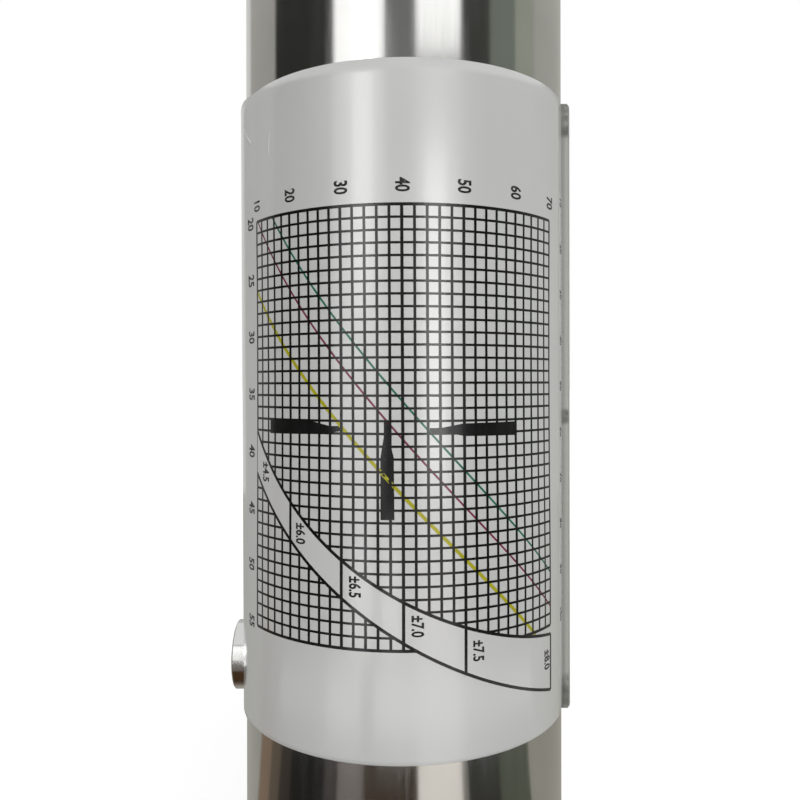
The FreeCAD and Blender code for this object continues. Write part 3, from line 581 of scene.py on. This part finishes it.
def label_heights():
    """Heights of the sheet's rows: fine at both edges and round the push button."""
    marks = [LABEL_LOW.z, LABEL_LOW.z + EDGE_ROUND, BUTTON_HEIGHT - HOLE_ROOM,
             BUTTON_HEIGHT + HOLE_ROOM, LABEL_HIGH.z - EDGE_ROUND, LABEL_HIGH.z]
    marks = sorted(mark for mark in marks if LABEL_LOW.z <= mark <= LABEL_HIGH.z)
    heights = [marks[0]]
    for low, high in zip(marks, marks[1:]):
        near = abs((low + high) / 2 - BUTTON_HEIGHT) < HOLE_ROOM
        count = max(1, round((high - low) / (FINE_ROW_STEP if near else ROW_STEP)))
        heights += [low + (high - low) * i / count for i in range(1, count + 1)]
    return heights


def label_sheet():
    """Wrapped sheet with a hole for the push button, as one closed shell."""
    bm = bmesh.new()
    heights = label_heights()
    angles = label_angles()
    rows = len(heights)
    outer, inner = [], []
    for angle in angles:
        turned_angle = angle if angle > -math.pi else angle + 2 * math.pi
        tilt = EDGE_TILT * math.sin(angle)
        for height in heights:
            place = height + tilt * edge_share(height)
            radius = surface_radius(turned_angle, height)
            edge = height in (heights[0], heights[-1])
            inside = max(TUBE_RADIUS + SHEET_CLEARANCE, radius - SHEET_THICKNESS)
            reach = radius - EDGE_ROUND if edge else radius
            outer.append(bm.verts.new(round_place(reach, angle, place)))
            inner.append(bm.verts.new(round_place(inside, angle, place)))

    def in_hole(column, row):
        angle = (angles[column] + angles[column + 1]) / 2
        height = (heights[row] + heights[row + 1]) / 2
        across = (angle + math.pi / 2) * TUBE_RADIUS
        return math.hypot(across, height - BUTTON_HEIGHT) < HOLE_RADIUS

    columns = len(angles) - 1
    kept = {(c, r) for c in range(columns) for r in range(rows - 1) if not in_hole(c, r)}
    for column, row in sorted(kept):
        a, b = column * rows + row, (column + 1) * rows + row
        bm.faces.new((outer[a], outer[b], outer[b + 1], outer[a + 1]))
        bm.faces.new((inner[a], inner[a + 1], inner[b + 1], inner[b]))
        edges = {(column - 1, row): (a, a + 1), (column + 1, row): (b + 1, b),
                 (column, row - 1): (b, a), (column, row + 1): (a + 1, b + 1)}
        for neighbour, (p, q) in edges.items():
            if neighbour not in kept:
                bm.faces.new((outer[p], outer[q], inner[q], inner[p]))
    loose = [vert for vert in bm.verts if not vert.link_faces]
    bmesh.ops.delete(bm, geom=loose, context="VERTS")
    round_hole(bm)
    sheet = finish_mesh("label_sheet", bm)
    add_material(sheet, MATERIALS["label_sheet"], "housing")
    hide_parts("chart_label")


def edge_share(height):
    """Share of the edges' tilt: full below the push button, none beside it, growing above."""
    above = BUTTON_HEIGHT + HOLE_ROOM
    if height > above:
        return min(1.0, (height - above) / (LABEL_HIGH.z - above))
    return min(1.0, max(0.0, (BUTTON_HEIGHT - HOLE_RADIUS - height) / EDGE_ROUND))


def round_hole(bm):
    """Pull the stepped rim of the button hole onto its circle."""
    for vert in bm.verts:
        if vert.co.x > 0:
            continue
        rim = any(len(edge.link_faces) == 2 and is_wall(edge) for edge in vert.link_edges)
        angle = math.atan2(vert.co.x, -vert.co.y)
        across = (angle + math.pi / 2) * TUBE_RADIUS
        up = vert.co.z - BUTTON_HEIGHT
        reach = math.hypot(across, up)
        if rim and 0 < reach < HOLE_RADIUS * RIM_SHARE:
            across, up = across * HOLE_RADIUS / reach, up * HOLE_RADIUS / reach
            radius = math.hypot(vert.co.x, vert.co.y)
            angle = across / TUBE_RADIUS - math.pi / 2
            vert.co = round_place(radius, angle, up + BUTTON_HEIGHT)


def is_wall(edge):
    """True for an edge that runs through the sheet's thickness beside the hole."""
    a, b = (vert.co for vert in edge.verts)
    radial = abs(math.hypot(a.x, a.y) - math.hypot(b.x, b.y)) > SHEET_THICKNESS * 0.5
    return radial and abs(a.z - BUTTON_HEIGHT) < HOLE_ROOM and abs(a.y) < HOLE_ROOM


def ribbon(bm, points, width, rise):
    """Thin closed strip of ink along points given as (arc, height), width across its way."""
    half = width / 2
    stations = []
    for i, point in enumerate(points):
        before = Vector(points[max(i - 1, 0)])
        after = Vector(points[min(i + 1, len(points) - 1)])
        along = (after - before).normalized()
        side = Vector((-along.y, along.x)) * half
        left = Vector(point) + side
        right = Vector(point) - side
        stations.append([bm.verts.new(on_sheet(left.x, left.y, 0)),
                         bm.verts.new(on_sheet(right.x, right.y, 0)),
                         bm.verts.new(on_sheet(right.x, right.y, rise)),
                         bm.verts.new(on_sheet(left.x, left.y, rise))])
    skin(bm, stations)


def run(first, last, height_of):
    """Points from one arc length to another with a small step."""
    count = max(1, math.ceil(abs(last - first) / ARC_STEP))
    arcs = [first + (last - first) * i / count for i in range(count + 1)]
    return [(arc, height_of(arc)) for arc in arcs]


def upright(value, low, high):
    """Points of an upright chart line; several, since the sheet stands off unevenly."""
    arc = chart_arc(value)
    heights = [low + (high - low) * i / UPRIGHT_STEPS for i in range(UPRIGHT_STEPS + 1)]
    return [(arc, height) for height in heights]


def chart_grid():
    """Upright line every two rebound units, level line every unit of strength."""
    bm = bmesh.new()
    top, bottom = chart_height(LEVEL_FIRST), chart_height(LEVEL_LAST)
    for value in range(CHART_FIRST, CHART_LAST + 1, CHART_STEP):
        width = TENS_LINE if value % 10 == 0 else GRID_LINE
        ribbon(bm, upright(value, bottom, top), width, INK_GRID)
    left, right = chart_arc(CHART_FIRST), chart_arc(CHART_LAST)
    for level in range(LEVEL_FIRST, LEVEL_LAST + 1):
        edge = level in (LEVEL_FIRST, LEVEL_LAST)
        width = BORDER_LINE if edge else LEVEL_LINE
        height = chart_height(level)
        ribbon(bm, run(left, right, lambda arc: height), width, INK_BORDER if edge else INK_GRID)
    on_label("chart_grid", bm, INK_BLACK)


def curve_points(factors, first, last, count=CURVE_STEPS):
    """Points of a chart curve between two rebound values."""
    values = [first + (last - first) * i / count for i in range(count + 1)]
    return [(chart_arc(value), chart_height(polynomial(factors, value))) for value in values]


def chart_curve(name, factors, first, last, material, width=CURVE_LINE):
    """One of the chart's coloured curves."""
    bm = bmesh.new()
    ribbon(bm, curve_points(factors, first, last), width, INK_CURVE)
    on_label(name, bm, material)


def chart_band():
    """White band between two curves, laid over the grid."""
    bm = bmesh.new()
    upper, lower = (curve_points(factors, CHART_FIRST, CHART_LAST, BAND_STEPS)
                    for factors in (BAND_UPPER, BAND_LOWER))
    filled(bm, upper, lower, INK_BAND)
    on_label("chart_band", bm, INK_WHITE)


def band_lines():
    """Outline and dividers of the band."""
    bm = bmesh.new()
    for factors in (BAND_UPPER, BAND_LOWER):
        ribbon(bm, curve_points(factors, CHART_FIRST, CHART_LAST, BAND_STEPS), TENS_LINE, INK_TOP)
    for value in (*BAND_TENS, CHART_LAST):
        top = chart_height(polynomial(BAND_UPPER, value))
        bottom = chart_height(polynomial(BAND_LOWER, value))
        ribbon(bm, upright(value, bottom, top), TENS_LINE, INK_TOP)
    on_label("band_lines", bm, INK_BLACK)


def filled(bm, first_side, second_side, rise, columns=1):
    """Closed raised field between two lines of points given as (arc, height)."""
    stations = []
    for a, b in zip(first_side, second_side):
        across = [Vector(a).lerp(Vector(b), i / columns) for i in range(columns + 1)]
        low = [bm.verts.new(on_sheet(point.x, point.y, 0)) for point in across]
        high = [bm.verts.new(on_sheet(point.x, point.y, rise)) for point in reversed(across)]
        stations.append(low + high)
    skin_sides(bm, stations)
    for station in (stations[0], stations[-1]):
        last = len(station) - 1
        for k in range(columns):
            bm.faces.new((station[k], station[k + 1], station[last - k - 1], station[last - k]))


def resampled(points, key, count):
    """Points of a line at even steps of one coordinate."""
    first, last = points[0][key], points[-1][key]
    made = []
    for i in range(count + 1):
        place = first + (last - first) * i / count
        for a, b in zip(points, points[1:]):
            if a[key] <= place <= b[key] + ROUNDING:
                share = (place - a[key]) / (b[key] - a[key]) if b[key] > a[key] else 0
                value = a[0] + (b[0] - a[0]) * share
                level = a[1] + (b[1] - a[1]) * share
                made.append((chart_arc(value), chart_height(level)))
                break
    return made


def hammer_signs():
    """Three solid signs that show which way the tool is held."""
    bm = bmesh.new()
    for sides, key, columns in HAMMER_SIGNS:
        first, second = (resampled(side, key, SIGN_STEPS) for side in sides)
        filled(bm, first, second, INK_SIGN, columns)
    on_label("hammer_signs", bm, INK_BLACK)


def flat_text(text, size):
    """Triangulated outline of a text in the plane, centred, as a bmesh."""
    data = bpy.data.curves.new("text_outline", "FONT")
    data.body = text
    data.size = size
    data.align_x = "CENTER"
    data.align_y = "CENTER"
    data.resolution_u = LETTER_STEPS
    data.offset = size * LETTER_WEIGHT
    holder = new_object("text_outline", data)
    bpy.context.view_layer.update()
    mesh = bpy.data.meshes.new_from_object(holder)
    bpy.data.objects.remove(holder)
    bpy.data.curves.remove(data)
    return mesh


def ink_text(bm, text, arc, height, cap_height, width_share, rise):
    """Raised closed letters on the sheet, turned clockwise to be read from the right side."""
    size = cap_height / FONT_CAP_SHARE
    mesh = flat_text(text, size)
    part = bmesh.new()
    part.from_mesh(mesh)
    bpy.data.meshes.remove(mesh)
    bmesh.ops.remove_doubles(part, verts=part.verts, dist=SAME_PLACE)
    low = [vert.co.copy() for vert in part.verts]
    middle_x = (min(v.x for v in low) + max(v.x for v in low)) / 2
    middle_y = (min(v.y for v in low) + max(v.y for v in low)) / 2
    cosine, sine = math.cos(READ_TURN), math.sin(READ_TURN)
    solid = bmesh.ops.extrude_face_region(part, geom=part.faces[:])
    raised = {item for item in solid["geom"] if isinstance(item, bmesh.types.BMVert)}
    for vert in part.verts:
        x = (vert.co.x - middle_x) * width_share
        y = vert.co.y - middle_y
        place_arc = arc + x * cosine + y * sine
        place_height = height - x * sine + y * cosine
        vert.co = on_sheet(place_arc, place_height, rise if vert in raised else 0)
    bmesh.ops.recalc_face_normals(part, faces=part.faces)
    part_mesh = bpy.data.meshes.new("part")
    part.to_mesh(part_mesh)
    part.free()
    bm.from_mesh(part_mesh)
    bpy.data.meshes.remove(part_mesh)


def chart_numbers():
    """Numbers of both axes, read from the right side."""
    bm = bmesh.new()
    above = chart_height(LEVEL_FIRST) + NUMBER_RISE
    for value, drop in zip(range(CHART_FIRST, CHART_LAST + 1, 10), NUMBER_DROPS):
        ink_text(bm, str(value), chart_arc(value) + NUMBER_SIDE, above - drop * MM,
                 DIGIT_HEIGHT, DIGIT_WIDTH_SHARE, INK_GRID)
    beside = chart_arc(CHART_FIRST) - LEVEL_SIDE
    for level in range(LEVEL_FIRST, LEVEL_LAST + 1, 5):
        down = (level - LEVEL_FIRST) / (LEVEL_LAST - LEVEL_FIRST)
        ink_text(bm, str(level), beside, chart_height(level) + LEVEL_RISE * down, DIGIT_HEIGHT,
                 DIGIT_WIDTH_SHARE, INK_GRID)
    on_label("chart_numbers", bm, INK_BLACK)


def band_numbers():
    """Plain values in the band's fields."""
    bm = bmesh.new()
    for value, text, along in BAND_VALUES:
        top = polynomial(BAND_UPPER, value)
        bottom = polynomial(BAND_LOWER, value)
        ink_text(bm, text, chart_arc(value), chart_height(top + (bottom - top) * along),
                 BAND_DIGIT_HEIGHT, DIGIT_WIDTH_SHARE, INK_TOP)
    on_label("band_numbers", bm, INK_BLACK)


def scale_height(value):
    """Height of the rider's line at a rebound value."""
    return RIDER_LINE - value / 100 * SCALE_TRAVEL


def rebound_scale():
    """Strip with ticks and numbers beside the window."""
    right = math.acos((WINDOW_HIGH.y + SHEET_GAP) / LABEL_REACH) * LABEL_REACH
    left = SCALE_LEFT_ANGLE * LABEL_REACH
    span = SCALE_HIGH - SCALE_LOW
    heights = [SCALE_LOW + span * i / SCALE_STEPS for i in range(SCALE_STEPS + 1)]
    strip = bmesh.new()
    filled(strip, [(left, z) for z in heights], [(right - STRIP_SIDE, z) for z in heights],
           SCALE_STRIP_RISE, STRIP_COLUMNS)
    on_label("scale_strip", strip, INK_WHITE)
    ticks, numbers = bmesh.new(), bmesh.new()
    rise = SCALE_STRIP_RISE + INK_GRID
    for value in range(SCALE_FIRST, SCALE_LAST + 1, SCALE_STEP):
        height = scale_height(value)
        end = right - TICK_SIDE
        length = TICK_LONG if value % 10 == 0 else TICK_SHORT
        ribbon(ticks, run(end - length, end, lambda arc: height), TICK_LINE, rise)
        if value % 10 == 0:
            ink_text(numbers, str(value), right - SCALE_NUMBER_SIDE, height, SCALE_DIGIT_HEIGHT,
                     SCALE_DIGIT_SHARE, rise)
    on_label("scale_ticks", ticks, INK_BLACK)
    on_label("scale_numbers", numbers, INK_BLACK)


def index_mark():
    """White line across the rider, at present 3 mm above the groove that it belongs in."""
    bm = bmesh.new()
    outer = RIDER_HIGH.x - MARK_SINK
    inner = outer - MARK_DEPTH
    flat = MARK_HALF * MARK_FLAT_SHARE
    section = [(inner, -MARK_HALF), (inner, MARK_HALF), (outer - MARK_ROUND, MARK_HALF),
               (outer, flat), (outer, -flat), (outer - MARK_ROUND, -MARK_HALF)]
    half_length = (RIDER_HIGH.y - RIDER_LOW.y) / 2 - MARK_SIDE
    ends = []
    for y in (-half_length, half_length):
        ends.append([bm.verts.new((x, y, RIDER_LINE + z)) for x, z in section])
    skin(bm, ends)
    add_material(finish_mesh("index_mark", bm, False), MARK_WHITE, "rider")


def coil_heights(turns, length, wire):
    """Height of the wire's centre at each step, with one closed turn at each end."""
    closed_rise = CLOSED_PITCH * wire
    free = length - 2 * wire - 2 * closed_rise
    heights = []
    for step in range(turns * COIL_STEPS + 1):
        turn = step / COIL_STEPS
        if turn <= 1:
            rise = closed_rise * turn
        elif turn >= turns - 1:
            rise = closed_rise + free + closed_rise * (turn - turns + 1)
        else:
            rise = closed_rise + free * (turn - 1) / (turns - 2)
        heights.append(wire + rise)
    return heights


def coil_spring(node, mean_radius, wire, turns, body, far_body=None, lying=False):
    """Round-wire spring in its CAD node's place; one that joins two bodies is left on no body."""
    low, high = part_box(node)
    length = high.x - low.x if lying else high.z - low.z
    bm = bmesh.new()
    rings = []
    for step, height in enumerate(coil_heights(turns, length, wire)):
        angle = 2 * math.pi * step / COIL_STEPS
        ring = []
        for side in range(WIRE_SIDES):
            tilt = 2 * math.pi * side / WIRE_SIDES
            reach = mean_radius + wire * math.cos(tilt)
            up = height + wire * math.sin(tilt)
            across, along = reach * math.cos(angle), reach * math.sin(angle)
            if lying:
                ring.append(bm.verts.new((high.x - up, along, BUTTON_HEIGHT + across)))
            else:
                ring.append(bm.verts.new((across, along, low.z + up)))
        rings.append(ring)
    skin(bm, rings)
    piece = finish_mesh(f"{node}_coil", bm)
    own_body = body if far_body is None else None
    add_material(piece, MATERIALS["spring_steel"], own_body)
    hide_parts(node)
    if far_body is None:
        return
    if lying:
        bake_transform(piece)
    else:
        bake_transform(piece)


def leg_spring():
    """The pawl's spring: a smooth-shaded copy of its CAD node, attached to no body."""
    piece = new_object("pawl_spring_wire", frame["nodes"]["pawl_spring"].data.copy())
    for face in piece.data.polygons:
        face.use_smooth = True
    add_material(piece, MATERIALS["spring_steel"], None)
    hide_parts("pawl_spring")
    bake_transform(piece)


def film_creases():
    """Small raised creases near the sheet's upper left corner, in a paler film: a painted
    highlight.
    """
    bm = bmesh.new()
    for line, width in CREASES:
        ends = [Vector((math.radians(angle) * LABEL_REACH, height * MM)) for angle, height in line]
        points = [a.lerp(b, i / CREASE_STEPS) for a, b in zip(ends, ends[1:])
                  for i in range(CREASE_STEPS)]
        ribbon(bm, points + [ends[-1]], width, CREASE_RISE)
    on_label("film_creases", bm, CREASE_HIGHLIGHT_FILM, True)


dress_nodes()
label_sheet()
chart_grid()
chart_curve("chart_curve_green", GREEN_CURVE, GREEN_FIRST, CHART_LAST, INK_GREEN)
chart_curve("chart_curve_magenta", MAGENTA_CURVE, MAGENTA_FIRST, CHART_LAST, INK_MAGENTA)
chart_curve("chart_curve_yellow", YELLOW_CURVE, CHART_FIRST, YELLOW_LAST, INK_YELLOW,
            YELLOW_LINE)
hammer_signs()
chart_band()
band_lines()
chart_numbers()
band_numbers()
rebound_scale()
index_mark()
film_creases()
for spring in SPRINGS:
    coil_spring(*spring)
leg_spring()


def add_camera():
    """Camera fitted to the photograph; the shifts place its level axis in the picture."""
    data = bpy.data.cameras.new("camera")
    data.lens = LENS
    data.sensor_width = SENSOR
    data.shift_x = SIDE_SHIFT
    data.shift_y = HORIZON_SHIFT
    data.clip_start = CLIP_START
    camera = new_object("camera", data)
    camera.matrix_world = (Matrix.Translation(CAMERA_PLACE)
                           @ Matrix.Rotation(LEVEL_TURN, 4, "X")
                           @ Matrix.Rotation(CAMERA_ROLL, 4, "Z"))
    bpy.context.scene.camera = camera


def add_light(name, place, target, width, height, watts, mirrored):
    """Soft lamp that points at its target."""
    data = bpy.data.lights.new(name, "AREA")
    data.shape = "RECTANGLE"
    data.size = width
    data.size_y = height
    data.energy = watts
    lamp = new_object(name, data)
    lamp.location = place
    lamp.rotation_euler = (Vector(target) - Vector(place)).to_track_quat("-Z", "Y").to_euler()
    lamp.visible_glossy = mirrored


def emission_material(name, colour):
    """Glow of one colour."""
    n = Nodes(name)
    glow = n.node("ShaderNodeEmission")
    glow.inputs["Color"].default_value = (*colour, 1)
    glow.inputs["Strength"].default_value = 1.0
    n.link(glow.outputs[0], n.output.inputs["Surface"])
    return n.material


def only_in_reflections(card):
    """Hide a card from all but mirrored rays."""
    card.visible_camera = False
    card.visible_diffuse = False
    card.visible_shadow = False
    card.visible_transmission = False
    card.visible_volume_scatter = False


def studio_card(name, start, end, colour, near, far):
    """Card round the object between two azimuths in degrees, seen only in reflections.

    Its two long edges are given as (radius, height).
    """
    bm = bmesh.new()
    count = max(2, round((end - start) / CARD_STEP))
    columns = []
    for i in range(count + 1):
        angle = math.radians(start + (end - start) * i / count)
        columns.append([bm.verts.new(round_place(radius, angle, height))
                        for radius, height in (near, far)])
    for (a, b), (c, d) in zip(columns, columns[1:]):
        bm.faces.new((a, c, d, b))
    card = finish_mesh(name, bm, False)
    card.data.materials.append(emission_material(name, colour))
    only_in_reflections(card)


CARD_STEP = 4
# Cards on the wall and on the floor: first and last azimuth in degrees, colour
WALL_CARDS = (
    (-179, -165, (0.55, 0.55, 0.54)),
    (-165, -140, (0.72, 0.72, 0.70)),
    (-140, -99, (0.45, 0.445, 0.42)),
    (-99, -47.5, (0.035, 0.036, 0.032)),
    (-47.5, -12.5, (1.6, 1.6, 1.6)),
    (-12.5, 8, (0.19, 0.19, 0.19)),
    (8, 38.5, (1.6, 1.6, 1.6)),
    (38.5, 60, (0.05, 0.05, 0.045)),
    (60, 82, (0.21, 0.235, 0.205)),
    (82, 102, (0.38, 0.40, 0.34)),
    (102, 165, (0.48, 0.475, 0.44)),
)
FLOOR_CARDS = (
    (-165, -108, (0.40, 0.395, 0.36)),
    (-108, -94, (0.26, 0.19, 0.14)),
    (-94, -84, (0.14, 0.11, 0.085)),
    (-84, -74, (0.055, 0.045, 0.038)),
    (-74, -49, (0.02, 0.02, 0.017)),
    (-49, -40, (0.07, 0.063, 0.058)),
    (-40, -24, (0.22, 0.195, 0.18)),
    (-24, 8, (0.058, 0.042, 0.028)),
    (8, 34.5, (1.0, 0.95, 0.88)),
    (34.5, 38.5, (0.25, 0.24, 0.22)),
    (38.5, 60, (0.045, 0.045, 0.04)),
    (60, 85, (0.11, 0.12, 0.09)),
    (85, 165, (0.38, 0.37, 0.32)),
)
WALL_REACH, WALL_BOTTOM, WALL_TOP = 0.6, 0.002, 0.54
FLOOR_INNER, FLOOR_OUTER, FLOOR_RISE = 0.032, 0.6, 0.001
# Cores before the wall: name, first and last azimuth, low and high edge, strength
CORE_CARDS = (
    ("dim_right", 8, 38.5, 0.30, 0.372, 0.3),
    ("core_right", 14, 28, 0.02, 0.29, 5.2),
    ("core_left", -34, -20, 0.16, 0.42, 4.6),
    ("line_left", -20, -8, 0.54, 0.62, 0.42),
)
CORE_REACH, CORE_WARMTH = 0.58, 0.985
# Cores over the floor: name, first and last azimuth, inner and outer radius, strength
FLOOR_CORES = (
    ("core_floor_left", -34, -20.5, 0.2, 0.45, 2.6),
    ("core_floor", -14, -2, 0.2, 0.45, 2.2),
    ("core_near_middle", -48, -26.5, 0.132, 0.175, 2.3),
    ("core_near", -18.5, 36, 0.132, 0.175, 2.3),
    ("core_near_side", 36, 58, 0.132, 0.175, 1.4),
    ("core_near_left", -86, -48, 0.135, 0.175, 0.9),
    ("core_near_right", 58, 90, 0.135, 0.175, 1.2),
)
CORE_RISE = 0.002
# Brown card close to the object: name, first and last azimuth, colour, inner and outer radius
NEAR_BROWN = ("floor_brown", -75, -15, (0.075, 0.04, 0.018), 0.03, 0.072)
BROWN_RISE = 0.003
# Lamps: name, place, target, width, height, watts, whether reflections show it
SOFTBOXES = (
    ("softbox_left", (-0.42, -0.62, 0.2), (0, 0, 0.09), 0.35, 0.7, 0.4, True),
    ("softbox_right", (0.26, -0.7, 0.16), (0, 0, 0.08), 0.35, 0.7, 2.2, True),
    ("softbox_top", (0.1, 0.1, 0.9), (0, 0, 0.1), 0.6, 0.6, 1.0, False),
)


def add_studio():
    """Cards that the metal and the film mirror, and the lamps."""
    for name, start, end, low, high, strength in CORE_CARDS:
        colour = (strength, strength, strength * CORE_WARMTH)
        studio_card(name, start, end, colour, (CORE_REACH, low), (CORE_REACH, high))
    for name, start, end, inner, outer, strength in FLOOR_CORES:
        colour = (strength, strength, strength)
        studio_card(name, start, end, colour, (inner, CORE_RISE), (outer, CORE_RISE))
    name, start, end, colour, inner, outer = NEAR_BROWN
    studio_card(name, start, end, colour, (inner, BROWN_RISE), (outer, BROWN_RISE))
    for i, (start, end, colour) in enumerate(WALL_CARDS):
        studio_card(f"wall_card_{i}", start, end, colour, (WALL_REACH, WALL_BOTTOM),
                    (WALL_REACH, WALL_TOP))
    for i, (start, end, colour) in enumerate(FLOOR_CARDS):
        studio_card(f"floor_card_{i}", start, end, colour, (FLOOR_INNER, FLOOR_RISE),
                    (FLOOR_OUTER, FLOOR_RISE))
    for row in SOFTBOXES:
        add_light(*row)


# Glow of the floor near the object and far away; the shadow shows where it is low
FLOOR_NEAR, FLOOR_FAR = 0.5, 0.8
FLOOR_HALF = 12.0
# Strength of the world as light, and as seen by the camera and in reflections
WORLD_FILL, WORLD_WHITE = 0.5, 1.0


def add_floor():
    """Pale floor that shows white to the camera and in reflections, and keeps the shadow."""
    bm = bmesh.new()
    corners = ((-1, -1), (1, -1), (1, 1), (-1, 1))
    bm.faces.new([bm.verts.new((x * FLOOR_HALF, y * FLOOR_HALF, 0)) for x, y in corners])
    floor = finish_mesh("floor", bm, False)
    n = Nodes("floor_pale")
    diffuse = n.node("ShaderNodeBsdfDiffuse")
    diffuse.inputs["Color"].default_value = (0.8, 0.8, 0.8, 1)
    glow = n.node("ShaderNodeEmission")
    glow.inputs["Color"].default_value = (1, 1, 1, 1)
    place = n.node("ShaderNodeTexCoord")
    away = n.node("ShaderNodeVectorMath", operation="LENGTH")
    n.link(place.outputs["Object"], away.inputs[0])
    strength = n.spread(away.outputs["Value"], FLOOR_NEAR, FLOOR_FAR, 0.1, 0.6)
    n.link(strength, glow.inputs["Strength"])
    both = n.node("ShaderNodeAddShader")
    n.link(diffuse.outputs[0], both.inputs[0])
    n.link(glow.outputs[0], both.inputs[1])
    seen = n.node("ShaderNodeMixShader")
    n.link(seen_or_mirrored(n), seen.inputs[0])
    n.link(diffuse.outputs[0], seen.inputs[1])
    n.link(both.outputs[0], seen.inputs[2])
    n.link(seen.outputs[0], n.output.inputs["Surface"])
    floor.data.materials.append(n.material)


def seen_or_mirrored(n):
    """1 for camera, glossy and transmission rays."""
    path = n.tree.nodes.new("ShaderNodeLightPath")
    first = n.calculate("MAXIMUM", path.outputs["Is Camera Ray"], path.outputs["Is Glossy Ray"])
    return n.calculate("MAXIMUM", first, path.outputs["Is Transmission Ray"])


class WorldNodes(Nodes):
    """The same helpers on the world's tree."""

    def __init__(self, world):
        self.tree = world.node_tree
        self.tree.nodes.clear()
        self.output = self.tree.nodes.new("ShaderNodeOutputWorld")


def add_world():
    """White surroundings, dimmer as a light than they look."""
    world = bpy.data.worlds.new("studio")
    world.use_nodes = True
    bpy.context.scene.world = world
    n = WorldNodes(world)
    fill = n.node("ShaderNodeBackground")
    fill.inputs["Color"].default_value = (1, 1, 1, 1)
    fill.inputs["Strength"].default_value = WORLD_FILL
    white = n.node("ShaderNodeBackground")
    white.inputs["Color"].default_value = (1, 1, 1, 1)
    white.inputs["Strength"].default_value = WORLD_WHITE
    both = n.node("ShaderNodeMixShader")
    n.link(seen_or_mirrored(n), both.inputs[0])
    n.link(fill.outputs[0], both.inputs[1])
    n.link(white.outputs[0], both.inputs[2])
    n.link(both.outputs[0], n.output.inputs["Surface"])


add_camera()
add_studio()
add_floor()
add_world()
bpy.context.scene.view_settings.view_transform = "Standard"
